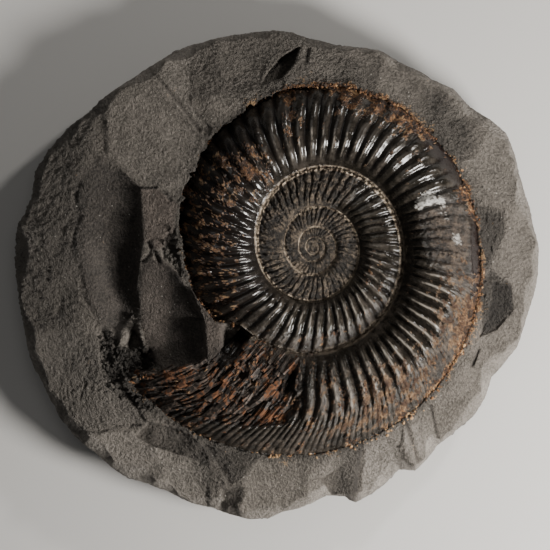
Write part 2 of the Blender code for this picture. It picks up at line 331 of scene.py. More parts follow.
# Bare white calcite, worn places, and smooth ones that have lost their ribs.
CALCITE_SPOTS = [(0.438, 0.45, 0.011, 0.2, 0.95), (0.489, 0.69, 0.008, 0.07, 0.72),
                 (0.452, 0.62, 0.014, 0.1, 0.55)]
WORN_SPOTS = [(0.487, 0.6, 0.05, 0.4, 1.0), (0.575, 0.88, 0.06, 0.25, 0.5), (0.66, 0.85, 0.07, 0.3, 0.4),
              (0.73, 0.45, 0.05, 0.5, 0.3), (-0.3, 0.92, 0.18, 0.3, 0.4), (0.79, 0.95, 0.07, 0.12, 0.5)]
SMOOTH_SPOTS = [(0.385, 0.97, 0.06, 0.16, 1.0), (0.503, 0.985, 0.04, 0.13, 1.6)]
# The glossiest places.
POLISHED_SPOTS = [(0.6, 0.35, 0.13, 0.35, 1.0), (-0.3, 0.2, 0.22, 0.35, 1.0), (0.25, 0.3, 0.1, 0.3, 0.6)]
# Places where the ribs are rubbed pale along their crests, with a painted highlight laid along them as well.
RUBBED_AND_HIGHLIGHT_SPOTS = [(0.585, 0.48, 0.07, 0.38, 1.0), (0.69, 0.42, 0.06, 0.4, 0.75),
                (-0.32, 0.4, 0.22, 0.5, 0.6), (0.25, 0.28, 0.14, 0.24, 0.5)]
# A net of thin veins of crust, and places where painted shade darkens the shell nearly to black.
VEIN_SPOTS = [(0.0, 0.7, 0.13, 0.45, 0.9), (0.12, 0.4, 0.05, 0.4, 0.6), (0.33, 0.85, 0.06, 0.25, 0.7)]
PAINTED_SHADE_SPOTS = [(0.0, 0.55, 0.17, 0.9, 1.4), (0.24, 0.6, 0.12, 0.9, 0.55)]
# A slot that gapes in the crushed chamber: its turn and place across, half sizes, and how it slants.
SLOT_AT, SLOT_HALF, SLOT_SLANT = (0.7777, 0.3), (0.0045, 0.095), 0.029
# How deep the hole near the open end goes, mm, and what share of that the slot goes.
HOLE_DEPTH, SLOT_SHARE = 8.5, 0.6
# By turn: how far the free outer edge stands over the shell's middle plane and how uneven the flank is, mm.
FREE_EDGE = [(-0.14, 2.0), (-0.05, -2.0), (0.05, -3.0), (0.12, -3.6), (0.2, -2.2), (0.26, 0.6),
             (0.5, 1.4), (0.75, 1.6), (0.83, 0.8), (0.91, -3.0)]
UNEVEN = [(-5.5, 0.4), (0.2, 0.3), (0.4, 0.3), (0.5, 0.8), (0.9, 0.8)]
# By turn: where between a rib's crest (0) and its groove's middle (1) the groove begins, how high the ribs
# are and how thick the seam is.
GROOVE_FROM = [(-1.1, 0.5), (-0.6, 0.4), (-0.2, 0.27), (0.1, 0.15), (0.35, 0.15), (0.5, 0.3), (0.9, 0.3)]
RIB_SHARE = [(-5.5, 1.6), (-1.3, 1.25), (-0.5, 1.1), (0.16, 1.0), (0.25, 0.68), (0.42, 0.7), (0.5, 1.1),
             (0.9, 1.1)]
SEAM_SHARE = [(-5.5, 0.0), (-3.2, 0.7), (-1.05, 0.9), (-0.95, 1.3), (-0.6, 1.3), (-0.45, 0.8), (-0.3, 0.3),
              (-0.25, 0.12), (-0.14, 0.12), (0.05, 1.3), (0.4, 1.2), (0.5, 0.5), (0.866, 0.3)]
# The plug under the shell: the heights of its bend and its floor, mm, and the floor's size.
PLUG_BEND, PLUG_FLOOR, PLUG_FLOOR_SIZE = 20.0, 14.3, 0.9


def slot_distance(turn, across):
    """Squared distance from the slot's middle, which is 1 on its outline."""
    along = (turn - SLOT_AT[0] - (across - SLOT_AT[1]) * SLOT_SLANT) / SLOT_HALF[0]
    return along ** 2.0 + ((across - SLOT_AT[1]) / SLOT_HALF[1]) ** 2.0


def whorl_place(graph, sizes, turn, across):
    """Where a place on the smooth shell lies: turn as its rib leans, radius, height and how bare."""
    lean = INNER_LEAN * across * turn.ease(-0.1, 0.2, 1.0, 0.0)
    lean = lean + across.ease(0.45, 1.05) * turn.along(
        [(-0.1, 0.0), (0.2, 0.006), (0.45, 0.007), (0.65, 0.01), (0.74, 0.017), (BROKEN_END, 0.037)])
    leaned = turn + lean
    bare = leaned.ease(BARE_FROM, BARE_FROM + 0.035)
    # Each point lies between its whorl's seam and its outer edge.
    crease = 0.006
    inner = spiral(leaned, sizes["Seam radius"], sizes["Seam growth"], *SEAM_WAVE) * (1 + crease)
    covered = spiral(leaned + 1.0, sizes["Seam radius"], sizes["Seam growth"], *SEAM_WAVE) * (1 - crease)
    own = spiral(leaned, sizes["Edge radius"], sizes["Edge growth"], *EDGE_WAVE)
    ragged = graph.noise(graph.vector(leaned * 40.0, across * 6.0), 1.0, 5.0, 0.65)
    own = own + ragged * 2.0 * across.ease(0.8, 1.0)
    outer = covered + (own - covered) * bare
    radius = inner + across * (outer - inner)
    # The flank is highest a little inside its middle, and lower at its seam and its outer edge.
    rise = sizes["Whorl rise"] * 2.0 ** (leaned - 0.75)
    crest_at, seam_share, edge_share = 0.43, 0.31, 0.62
    from_crest_in = (1.0 - across / crest_at).math("MAXIMUM", 0.0) ** 2.5
    from_crest_out = ((across - crest_at) / (1.0 - crest_at)).math("MAXIMUM", 0.0) ** 2.4
    edge = rise * edge_share + (leaned.along(FREE_EDGE) - rise * edge_share) * bare
    height = rise - (rise - rise * seam_share) * from_crest_in - (rise - edge) * from_crest_out
    return leaned, radius, height, bare


def wound(graph, leaned, radius, height):
    """Position in metres of a place on the coil."""
    angle = leaned * (2 * math.pi)
    x = COIL_AT[0] - radius * angle.math("COSINE")
    y = radius * angle.math("SINE") + COIL_AT[1]
    return graph.vector(x * MM, y * MM, height * MM)


def coil_graph(material):
    """Wind the flat skin into the coil, raise its ribs and break its end."""
    graph, sizes = geometry_graph("coil", [*COIL_SIZES, "Rib height", "Crushed drop"])
    flat = graph.points()
    turn, across, buried = flat, flat.other("Y"), flat.other("Z")
    ribs = graph.attribute("ribs")
    leaned, radius, height, bare = whorl_place(graph, sizes, turn, across)

    # Ribs: rounded, with grooves that are narrower on the inner whorls, and their three branches.
    waver = graph.noise(graph.vector(ribs * 0.35, across * 2.0), 1.0, 3.0)
    phase = ribs + waver * turn.ease(-1.2, 0.2, 1.4, 0.5)
    from_rib = phase.math("PINGPONG", 0.5) * 2.0
    groove, deep = from_rib.ease(turn.along(GROOVE_FROM), 1.0), from_rib.ease(0.5, 1.0)
    branching = turn.ease(0.42, 0.52)
    branch_groove = ((phase * 3.0).math("PINGPONG", 0.5) * 2.0).ease(0.45, 1.0)
    primary = across.ease(0.02, 0.2) * (1.0 - branching * across.ease(0.58, 0.7))
    branch = branching * across.ease(0.55, 0.68)
    at_edge = 1.0 - across.ease(0.93, 1.0) * 0.75
    smooth = patches(turn, across, SMOOTH_SPOTS).math("MINIMUM", 1.0)
    worn = patches(turn, across, WORN_SPOTS) * (1.0 - smooth)
    rib_height = sizes["Rib height"] * radius * (1.0 - worn * 0.45) * (1.0 - smooth) * at_edge
    rib_height = rib_height * turn.along(RIB_SHARE)
    relief = (0.47 - groove * 0.75 - from_rib ** 2.0 * 0.35) * primary + (0.4 - branch_groove) * branch * 0.42
    height = height + relief * rib_height

    # Where water came in the shell is crusted over with rust; some of it is bare white calcite.
    spread = graph.vector(radius * (leaned * (2 * math.pi)).math("COSINE"),
                          radius * (leaned * (2 * math.pi)).math("SINE"))
    blotch = graph.noise(spread, 0.22, 4.0, 0.65)
    grain = graph.noise(spread, 1.1, 5.0, 0.7)
    streak = graph.noise(graph.vector(phase * 0.9, across * 3.0), 1.6, 4.0, 0.65)
    rim_rust = across.ease(0.9, 0.99) * bare * leaned.along(EDGE_RUST) * 0.75
    rust = patches(turn, across, RUST_SPOTS) * 0.8 + rim_rust + blotch * 1.0 + streak * 3.0 + grain * 2.0
    vein = graph.noise(spread, 0.26, 2.0, 0.6).math("ABSOLUTE").ease(0.026, 0.01)
    veined = (patches(turn, across, VEIN_SPOTS) + streak * 3.0 + blotch).ease(0.4, 0.7)
    crust = rust.ease(0.7, 0.82).math("MAXIMUM", vein * veined * 0.85)
    calcite = patches(turn, across, CALCITE_SPOTS)
    uneven = (calcite + blotch * 1.5 + streak * 3.0 + grain * 2.6 - groove * 0.3).ease(0.5, 0.7)
    calcite = calcite.ease(0.0, 0.3) * uneven
    fleck = graph.noise(graph.vector(phase * 0.8, across * 6.0), 1.6, 5.0, 0.7) + grain * 0.3
    fleck = (fleck + patches(turn, across, FLECK_SPOTS) * 0.17 - groove * 0.05).ease(0.19, 0.22)
    grit = (patches(turn, across, GRIT_SPOTS) + turn.ease(-1.0, -1.12) + blotch * 0.8).ease(0.3, 0.8)
    at_seam = across.ease(0.945, 0.98) * (1.0 - bare) + across.ease(0.025, 0.008) * turn.ease(-4.0, -3.0)
    seam = at_seam * turn.along(SEAM_SHARE)
    seam = (seam * (1.05 + blotch * 1.2 + grain * 2.2)).math("MAXIMUM", 0.0)
    small = radius.math("MINIMUM", 22.0) / 22.0
    height = height + crust * (0.3 + grain * 3.0) + seam * (0.5 + grain * 3.0) * small
    height = height + grain * (worn * 2.2 + grit * 4.0) * small + fleck * (0.12 + grain * 0.8)
    height = height + graph.noise(spread, 0.9, 3.0, 0.6) * worn * 2.6
    height = height + graph.noise(spread, 0.5, 3.0) * turn.along(UNEVEN)
    # Near its open end the chamber has a hole down to the dark, and a slot gapes further in.
    hole = turn.ease(0.846, 0.853) * across.ease(0.32, 0.24)
    hole = hole.math("MAXIMUM", slot_distance(turn, across).ease(1.3, 0.7) * SLOT_SHARE)
    height = height - hole * HOLE_DEPTH

    # The body chamber is crushed: it has sunk, and its surface is a rough bed for the splinters.
    crushed = (turn - across.ease(0.62, 0.95) * 0.065 + blotch * 0.045).ease(0.757, 0.779)
    crushed = crushed * across.ease(0.02, 0.1) * (1.0 - hole)
    bed = streak * 8.0 + grain * 3.0 + across.ease(0.6, 0.8) * (0.3 - branch_groove) * 2.2
    height = height + crushed * (bed - sizes["Crushed drop"] * (across * math.pi).math("SINE"))

    # The buried half is a plain plug, drawn in towards its floor.
    radius = radius * buried.along([(0.0, 1.0), (1.0, 1.0), (2.0, PLUG_FLOOR_SIZE)])
    surface = height + MIDDLE_HEIGHT
    height = surface + (PLUG_BEND - surface) * buried.math("MINIMUM", 1.0)
    height = height + (buried - 1.0).math("MAXIMUM", 0.0) * (PLUG_FLOOR - PLUG_BEND)

    # What the material has to know: where the shell is rubbed pale under a painted highlight, rusty and so
    # on, and where painted shade darkens it.
    rubbed = patches(turn, across, RUBBED_AND_HIGHLIGHT_SPOTS)
    rubbed = (rubbed + streak * 4.0 * rubbed + grain * 3.0 * rubbed).ease(0.25, 0.85)
    rubbed = rubbed * from_rib.ease(0.24, 0.02) * primary
    # Painted shade: the grooves between the ribs, the hole and slot, the gaps in the crushed bed and the
    # shaded spots.
    dark = deep * primary + patches(turn, across, PAINTED_SHADE_SPOTS)
    dark = dark.math("MAXIMUM", hole * 1.6 + crushed * branch_groove * 0.8).math("MINIMUM", 1.6)
    marks = {"rubbed": rubbed, "rust": crust, "calcite": calcite, "seam": seam, "smooth": smooth,
             "grit": grit, "crushed": crushed, "worn": worn, "fleck": fleck,
             "polished": patches(turn, across, POLISHED_SPOTS), "groove": dark}
    marked = sizes["Geometry"]
    for name, value in marks.items():
        marked = graph.store(marked, name, value)
    coiled = graph.node("GeometryNodeSetPosition", {}, marked, Position=wound(graph, leaned, radius, height))
    shaded = graph.node("GeometryNodeSetShadeSmooth", {}, coiled)
    finish_graph(graph, shaded, material)
    return graph


def surface_material(name, roughness):
    """A material, its Principled shader and its graph."""
    material = bpy.data.materials.new(name)
    material.use_nodes = True
    shader = material.node_tree.nodes["Principled BSDF"]
    shader.inputs["Roughness"].default_value = roughness
    return material, shader, Graph(material.node_tree)


def mix(graph, share, low, high):
    """Blend two colours."""
    low, high = ((*colour, 1.0) if isinstance(colour, tuple) else colour for colour in (low, high))
    return graph.node("ShaderNodeMix", {"data_type": "RGBA"}, share, low, high)


def toned(graph, share, low, high):
    """Blend two colours by a share that is first kept between 0 and 1."""
    return mix(graph, share.ease(0.0, 1.0), low, high)


def dress(graph, shader, colour, roughness=None, relief=None, strength=1.0, distance=0.001):
    """Give a shader its colour and, where they vary, its roughness and its relief."""
    graph.link(colour, shader.inputs["Base Color"])
    if roughness is not None:
        graph.link(roughness, shader.inputs["Roughness"])
    if relief is not None:
        bump = graph.node("ShaderNodeBump", {}, Strength=strength, Distance=distance, Height=relief)
        graph.link(bump, shader.inputs["Normal"])


def rust_colour(graph, share):
    """Rust from nearly black over brown and orange to cream."""
    return graph.node("ShaderNodeValToRGB", {"stops": [
        (0.2, (0.03, 0.017, 0.01)), (0.42, (0.11, 0.05, 0.022)), (0.6, (0.26, 0.12, 0.045)),
        (0.8, (0.42, 0.27, 0.14))]}, share)


def shell_material():
    """Dark glossy shell with rust, white calcite and cream seams, with painted highlights along some rib
    crests and painted shade in its grooves, hole and darkest spots.
    """
    material, shader, graph = surface_material("ammonite_shell", 0.4)
    place = graph.place()
    rust, calcite, seam, smooth, grit, crushed, worn, fleck, groove = (
        graph.attribute(name) for name in
        ("rust", "calcite", "seam", "smooth", "grit", "crushed", "worn", "fleck", "groove"))
    cloud = graph.noise(place, 55.0, 5.0, 0.6)
    grain = graph.noise(place, 1100.0, 5.0, 0.7)
    speck = graph.noise(place, 330.0, 4.0, 0.65)
    colour = toned(graph, cloud * 1.6 + speck * 1.8 + grain * 1.2 + 0.34, (0.014, 0.012, 0.009),
                   (0.07, 0.059, 0.048))
    colour = mix(graph, smooth * 0.95, colour, (0.014, 0.009, 0.008))
    worn_colour = toned(graph, speck * 4.0 + grain * 3.0 + 0.4, (0.024, 0.016, 0.011), (0.105, 0.078, 0.056))
    colour = toned(graph, worn * (0.7 + cloud * 1.2 + speck * 2.0), colour, worn_colour)
    grit_colour = toned(graph, speck * 4.0 + grain * 4.0 + 0.3, (0.024, 0.018, 0.013), (0.17, 0.132, 0.094))
    colour = mix(graph, grit * (0.75 + speck * 2.0), colour, grit_colour)
    # Painted shade in the grooves, the hole, the crushed bed's gaps and the shaded spots.
    colour = mix(graph, (groove * (0.65 - grit * 0.3)).math("MINIMUM", 0.95), colour, (0.009, 0.007, 0.006))
    # Painted highlight: a pale line along the rib crests, partly real rubbing and partly in place of glints.
    colour = mix(graph, graph.attribute("rubbed") * 0.8, colour, (0.34, 0.3, 0.255))
    # Painted shade: the crushed bed between the splinters is dark, and nearly black in its deepest gaps.
    bed_colour = toned(graph, speck * 3.0 + 0.35, (0.009, 0.007, 0.005), (0.06, 0.032, 0.019))
    colour = mix(graph, crushed * 0.9, colour, bed_colour)
    colour = mix(graph, (crushed + groove - 1.2).ease(0.0, 0.5) * 0.8, colour, (0.008, 0.006, 0.005))
    # Crusts are palest at their thin edges, and so are flecks.
    at_edge = rust.ease(0.05, 0.4) * rust.ease(0.95, 0.6)
    colour = mix(graph, rust, colour, rust_colour(graph, speck * 2.2 + grain * 2.0 + 0.36 + at_edge * 0.2))
    fleck_colour = toned(graph, speck * 3.0 + grain * 2.0 + fleck.ease(1.0, 0.4) * 0.3 + 0.25,
                         (0.085, 0.042, 0.022), (0.36, 0.225, 0.12))
    colour = mix(graph, fleck * 0.85, colour, fleck_colour)
    seam_colour = toned(graph, speck * 4.0 + grain * 3.5 + 0.66, (0.09, 0.052, 0.028), (0.78, 0.64, 0.48))
    colour = mix(graph, seam.math("MINIMUM", 1.0), colour, seam_colour)
    colour = mix(graph, calcite * (0.75 + speck * 1.5 + grain * 2.0), colour, (0.56, 0.54, 0.5))
    dull = (rust + seam + grit + crushed + worn * 0.5 + fleck).math("MINIMUM", 1.0)
    roughness = 0.17 + dull * 0.52 + worn * 0.15 + speck * 0.3 + cloud * 0.25
    roughness = roughness - graph.attribute("polished") * 0.07 + calcite * 0.15 + smooth * 0.05
    relief = grain * (0.06 + dull * 1.9) + speck * (0.14 + dull * 3.2)
    dress(graph, shader, colour, roughness, relief, strength=0.9)
    return material


def read_off(places, knots):
    """Read numbers off straight lines between (place, number) knots, for arrays."""
    return np.interp(places, *zip(*knots))


def mark(mesh, name, values):
    """Give each point of a mesh a number."""
    mesh.attributes.new(name, "FLOAT", "POINT").data.foreach_set("value", values)


shell_points, shell_faces, shell_edge, shell_tip = flat_shell()
flat_mesh = bpy.data.meshes.new("flat_shell")
flat_mesh.from_pydata(shell_points, [], shell_faces)
mark(flat_mesh, "ribs", read_off([point[0] for point in shell_points], RIB_COUNT))
ammonite = grown("ammonite_shell", flat_mesh, coil_graph(shell_material()),
                 {**COIL_SIZES, "Rib height": 0.034, "Crushed drop": 4.5})
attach(ammonite, "root")
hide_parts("ammonite")
# Where the shell's skin goes down into the rock, mm.
shell_outline = np.array([ammonite.data.vertices[vertex].co[:] for vertex in shell_edge]) / MM

# ---------------------------------------------------------------------------------------------
# The splinters of the crushed body chamber.
# Slivers of rib, tipped and pushed together when the chamber gave way, with dark gaps between.
# They lie in rows along the ribs: laid out flat like the shell's skin, and wound up with it.
# ---------------------------------------------------------------------------------------------

# Flat millimetres in a turn and in the whorl's width, so that slivers keep their shape when wound up.
TURN_SCALE, ACROSS_SCALE = 330.0, 37.0
SPLINTERS = {"First turn": 0.738, "Last turn": 0.872, "Bed depth": 3.9}
# Layers of slivers: how many beside and behind one another, half width and half length, mm, and seed.
SPLINTER_LAYERS = [(16, 8, 1.45, 4.8, 11), (19, 9, 1.08, 3.6, 12), (20, 10, 0.7, 2.2, 13)]
# They all lean forward about alike: how far from the shell's outward direction at the first and the last
# turn, and how much of the ribs' own lean is taken back there, in radians.
SPLINTER_LEAN, RIB_LEAN = (0.5, 0.25), (0.52, 0.75)
# Where they begin: the turn, how much later it is at the outer edge, and how ragged that line is.
BREAK_TURN, BREAK_SLANT, BREAK_RAGGED = 0.76, 0.075, 0.012
# None lie over the hole near the open end: the turn where it starts and how far across it reaches.
HOLE_TURN, HOLE_ACROSS = 0.847, 0.45


def flat_place(graph, sizes):
    """The turn and the place across at which a point of the flat rows lies."""
    spot = graph.points()
    return spot / TURN_SCALE + sizes["First turn"], spot.other("Y") / ACROSS_SCALE


def splinter_graph(material):
    """Put slivers in jittered rows along the ribs of the broken end and wind them up."""
    graph, sizes = geometry_graph("splinters", [*COIL_SIZES, *SPLINTERS])
    layers = graph.node("GeometryNodeJoinGeometry", {})
    for columns, rows, half_width, half_length, seed in SPLINTER_LAYERS:
        grid = graph.node("GeometryNodeMeshGrid", {}, 1.0, 1.0, columns, rows)
        spot = graph.points()
        turn = (spot + 0.5) * (sizes["Last turn"] - sizes["First turn"])
        jitter = graph.random(seed, (-1.0, -1.0, -1.0), (1.0, 1.0, 1.0))
        jitter = graph.node("ShaderNodeSeparateXYZ", {}, jitter)
        across = (spot.other("Y") * 0.92 + 0.52) * ACROSS_SCALE
        laid = graph.vector(turn * TURN_SCALE + jitter * half_width * 0.8,
                            across + jitter.other("Y") * half_length * 0.7, jitter.other("Z") * 0.9)
        points = graph.node("GeometryNodeSetPosition", {}, grid, Position=laid)
        turn, across = flat_place(graph, sizes)
        ragged = graph.random(seed + 10, -BREAK_RAGGED, BREAK_RAGGED)
        start = across.ease(0.66, 0.95) * BREAK_SLANT + BREAK_TURN + ragged
        hole = turn.math("GREATER_THAN", HOLE_TURN) * (HOLE_ACROSS - across).math("GREATER_THAN", 0.0)
        hole = hole.math("MAXIMUM", (3.0 - slot_distance(turn, across)).math("GREATER_THAN", 0.0))
        outside = start.math("GREATER_THAN", turn).math("MAXIMUM", hole)
        points = graph.node("GeometryNodeDeleteGeometry", {}, points, outside)
        sliver = graph.node("GeometryNodeMeshCylinder", {"fill_type": "NGON"}, Vertices=5, Side_Segments=2,
                            Radius=1.0, Depth=2.0)
        sliver = graph.node("GeometryNodeTransform", {}, sliver, Rotation=(math.pi / 2, 0.0, 0.0))
        swing = ((across - 0.45) * (math.pi / 0.6)).math("SINE").math("MAXIMUM", 0.0)
        swing = swing * turn.ease(0.77, 0.86, *RIB_LEAN) - turn.ease(0.77, 0.86, *SPLINTER_LEAN)
        turned = graph.node("ShaderNodeVectorMath", {"operation": "ADD"}, graph.vector(0.0, 0.0, swing),
                            graph.random(seed + 20, (-0.2, -3.1, -0.17), (0.2, 3.1, 0.17)))
        stretch = graph.random(seed + 30, (half_width * 0.45, half_length * 0.5, half_width * 0.4),
                               (half_width * 0.9, half_length * 1.3, half_width * 0.8))
        slivers = graph.node("GeometryNodeInstanceOnPoints", {}, points, Instance=sliver, Rotation=turned,
                             Scale=stretch)
        slivers = graph.store(slivers, "tone", graph.random(seed + 40, 0.0, 1.0), "INSTANCE")
        graph.link(slivers, layers.socket.node.inputs[0])
    real = graph.node("GeometryNodeRealizeInstances", {}, layers)
    turn, across = flat_place(graph, sizes)
    leaned, radius, height, bare = whorl_place(graph, sizes, turn, across)
    bed = sizes["Bed depth"] * (across * math.pi).math("SINE").math("MAXIMUM", 0.0)
    height = height + MIDDLE_HEIGHT - bed + graph.points().other("Z")
    laid = graph.node("GeometryNodeSetPosition", {}, real, Position=wound(graph, leaned, radius, height))
    finish_graph(graph, laid, material)
    return graph


def splinter_material():
    """Broken shell: grey-brown slivers, some of them coated with orange rust."""
    material, shader, graph = surface_material("splinters", 0.6)
    shader.inputs["Specular IOR Level"].default_value = 0.3
    place = graph.place()
    tone, speck, grain = graph.attribute("tone"), graph.noise(place, 300.0, 4.0), graph.noise(place, 1000.0)
    cloud = graph.noise(place, 130.0, 4.0)
    colour = toned(graph, speck * 3.0 + tone * 0.6 + grain * 3.0 + 0.1, (0.018, 0.014, 0.011),
                   (0.1, 0.077, 0.062))
    rusty = (cloud * 2.5 + tone * 0.5 + speck * 2.5 + grain * 2.0 + 0.1).ease(0.4, 0.7)
    rust = toned(graph, speck * 3.0 + grain * 2.5 + 0.4, (0.032, 0.013, 0.007), (0.15, 0.062, 0.026))
    colour = mix(graph, rusty * 0.9, colour, rust)
    roughness = 0.55 + speck * 0.5 + rusty * 0.3
    dress(graph, shader, colour, roughness, grain + speck, strength=0.7, distance=0.0005)
    return material


splinters = grown("splinters", bpy.data.meshes.new("none"), splinter_graph(splinter_material()),
                  {**COIL_SIZES, **SPLINTERS})
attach(splinters, "root")

# ---------------------------------------------------------------------------------------------
# The rock nodule.
# A lump of fine-grained, grey limestone, split and trimmed with a hammer until the shell lay bare:
# a domed face of shallow flake scars, a scalloped rim where the blows fell, and a flat underside.
# ---------------------------------------------------------------------------------------------

# The rim seen from above, mm, clockwise from the far side.
RIM = [
    (-1.5, 84.0), (5.0, 83.5), (11.0, 81.5), (20.5, 79.0), (31.5, 77.5), (36.5, 76.5), (42.0, 73.0),
    (49.0, 70.0), (53.0, 67.0), (60.5, 64.0), (66.5, 58.0), (73.5, 53.0), (78.5, 48.5), (81.0, 42.5),
    (83.0, 35.5), (85.5, 27.0), (87.5, 21.0), (88.0, 17.5), (90.0, 10.0), (89.5, -1.0), (88.0, -8.0),
    (85.5, -16.5), (82.5, -24.5), (78.5, -29.5), (73.5, -35.0), (71.5, -42.0), (68.0, -48.0),
    (62.5, -52.5), (55.0, -58.5), (51.0, -63.5), (47.5, -67.0), (42.0, -67.0), (38.5, -70.5),
    (32.5, -75.5), (27.0, -78.0), (23.5, -76.0), (17.0, -75.5), (12.0, -78.0), (7.0, -80.0),
    (1.0, -81.5), (-3.5, -83.5), (-9.5, -84.0), (-16.0, -82.5), (-22.0, -80.5), (-29.5, -79.0),
    (-37.5, -74.5), (-44.5, -71.5), (-52.0, -69.0), (-57.0, -66.0), (-63.0, -61.0), (-69.5, -55.5),
    (-75.0, -49.0), (-79.5, -39.5), (-83.5, -31.0), (-86.5, -20.0), (-89.0, -9.0), (-90.0, -1.0),
    (-89.5, 10.0), (-89.0, 17.5), (-86.5, 21.0), (-84.5, 27.0), (-82.5, 35.5), (-78.5, 42.5),
    (-72.5, 50.0), (-65.0, 56.0), (-58.0, 62.0), (-49.5, 67.5), (-44.0, 71.5), (-37.5, 75.5),
    (-28.5, 79.5), (-20.5, 81.5), (-11.0, 83.0),
]
# Heights of the rim and of the shoulder inside it, mm; how far the dome rises over the rim, and how round.
RIM_HEIGHT, SHOULDER_HEIGHT = 18.8, 22.7
DOME_RISE, DOME_POWER = 16.0, 0.6
# How far the rock stands over the shell's edge, by turn.
ROCK_OVER_SHELL = [(0.0, 9.0), (0.05, 8.5), (0.12, 7.0), (0.18, 5.5), (0.24, 2.8), (0.3, 1.4), (0.4, 0.6),
                   (0.8, 0.5), (0.905, 2.0)]
# The side from the flat base up: height, and size of the rim's outline there.
SIDE = [(0.0, 0.66), (0.5, 0.72), (2.2, 0.81), (6.0, 0.92), (10.5, 0.98), (13.0, 1.0)]
# The mesh's columns round the nodule, and its rows on the face and on the side.
ROCK_COLUMNS, FACE_ROWS, SIDE_ROWS = 880, 90, 14
# Large flake scars, which are shallow bowls: where, how deep, and the bowl's radius.
FLAKES = [
    (-46.0, 52.0, 1.5, 170.0), (-76.0, -42.0, 2.2, 130.0), (-26.0, -76.0, 2.6, 60.0),
    (36.0, -72.0, 3.0, 38.0), (60.0, -56.0, 2.6, 60.0), (86.0, 6.0, 1.6, 90.0),
    (78.0, 42.0, 2.2, 60.0), (52.0, 68.0, 1.8, 80.0), (-10.0, 80.0, 2.2, 70.0),
    (-54.0, -64.0, 2.4, 70.0), (0.0, -78.0, 2.6, 45.0), (76.0, -28.0, 2.0, 70.0),
    (-30.0, 74.0, 2.0, 60.0), (-80.0, 36.0, 2.4, 130.0), (-84.0, 0.0, 1.4, 160.0),
    (24.0, 79.0, 1.6, 70.0), (18.0, -76.0, 2.4, 26.0), (-38.0, -60.0, 1.5, 40.0),
    (66.0, 60.0, 1.8, 50.0), (-66.0, 50.0, 1.6, 60.0),
]
# Chips that the hammer took off the rim: how many, half length along the rim and depth, mm.
RIM_CHIPS, RIM_CHIP_SEED, CHIP_HALF_LENGTHS, CHIP_DEPTHS, SHARPEST_RIM = 70, 4, (2.0, 10.0), (1.0, 4.5), 0.8
# The fresh ones, pale partly from the fresh break and partly from a painted highlight: where, half length and
# depth.
FRESH_CHIPS = [(72.5, -37.9, 4.5, 2.6), (53.6, -59.5, 4.0, 3.2), (41.5, -67.1, 4.5, 2.8),
               (15.4, -76.1, 5.0, 2.6), (-20.1, -79.8, 4.0, 3.6), (-47.9, -70.2, 4.5, 2.4),
               (-67.2, -55.8, 4.0, 2.6), (84.0, 29.0, 5.0, 1.8), (60.0, 63.0, 5.0, 1.8),
               (-88.0, 12.0, 4.0, 3.0)]
# Scoops with a flat floor that curves up to a sharp edge on the right. By y: the left end, the right edge,
# the depth at that edge, the floor's depth, and how wide the curve up is.
SCOOPS = [
    [(39.5, -62.7, -58.2, 0.0, 0.0, 4.0), (35.4, -65.8, -53.4, 0.0, 1.4, 6.0),
     (29.9, -67.9, -47.2, 0.0, 2.5, 9.0), (20.9, -68.9, -46.2, 0.0, 3.0, 10.0),
     (12.0, -69.2, -45.9, 0.0, 4.6, 8.0), (4.4, -68.6, -47.2, 0.6, 6.6, 8.0),
     (-3.4, -67.0, -47.8, 1.4, 7.0, 7.0), (-7.5, -66.0, -47.9, 4.2, 6.2, 8.0),
     (-17.2, -61.0, -47.6, 4.2, 5.4, 7.0), (-24.1, -54.8, -46.5, 3.4, 4.4, 4.0),
     (-28.0, -52.0, -46.0, 0.0, 0.0, 4.0)],
    [(5.8, -46.2, -40.3, 0.0, 0.5, 2.0), (0.0, -47.6, -34.0, 0.0, 2.0, 3.5),
     (-5.2, -47.9, -30.0, 0.0, 3.4, 6.5), (-15.5, -47.6, -25.9, 0.0, 4.8, 10.5),
     (-23.4, -45.5, -25.2, 0.0, 5.2, 12.0), (-29.3, -43.8, -25.9, 0.0, 4.6, 11.5),
     (-33.5, -41.0, -29.0, 0.0, 3.2, 8.0)],
]
# How much of its floor's depth each scoop keeps at its left end, and how evenly it rises on the right.
SCOOP_SHAPES = [(0.0, 0.0), (0.8, 0.6)]
# Outlines of the face's features: two raised plates, the strip beside the shell and the gap at its broken
# end, the lens-shaped crack, the rough scar and the crumbled rock by the plates.
UPPER_PLATE = [(-47.4, 29.9), (-41.4, 29.9), (-36.2, 25.4), (-33.8, 24.5), (-34.9, 18.9), (-36.4, 11.7),
               (-40.3, 8.9), (-42.1, 8.7), (-46.0, 12.0)]
LOWER_PLATE = [(-46.2, 4.6), (-41.9, 4.8), (-39.7, 5.8), (-33.5, 0.3), (-30.7, -5.2), (-25.9, -15.5),
               (-25.2, -23.4), (-25.9, -29.3), (-29.0, -33.5), (-37.6, -33.0), (-43.8, -29.3), (-45.9, -19.0),
               (-47.6, -8.6)]
STRIP = [(-29.7, -4.5), (-24.9, -9.7), (-17.6, -15.5), (-18.7, -27.9), (-20.7, -31.7), (-24.2, -30.7),
         (-25.0, -22.4), (-25.6, -15.5), (-28.3, -7.9)]
GAP = [(-18.7, -19.3), (-17.6, -15.5), (-13.0, -14.8), (-13.0, -23.4), (-15.9, -30.7), (-20.1, -32.4),
       (-18.7, -27.9)]
LENS = [(-4.6, 65.8), (-3.0, 69.2), (1.8, 74.8), (7.2, 78.0), (5.6, 73.0), (1.0, 67.2)]
SCAR = [(69.7, -5.2), (73.2, 1.7), (80.4, -3.5), (80.4, -10.4), (75.6, -17.2), (70.8, -19.6), (70.4, -12.1)]
CRUMBLED = [(-39.3, 12.0), (-36.2, 15.5), (-33.0, 13.0), (-30.4, 4.4), (-28.3, -4.5), (-32.1, -1.0),
            (-36.2, 5.0)]
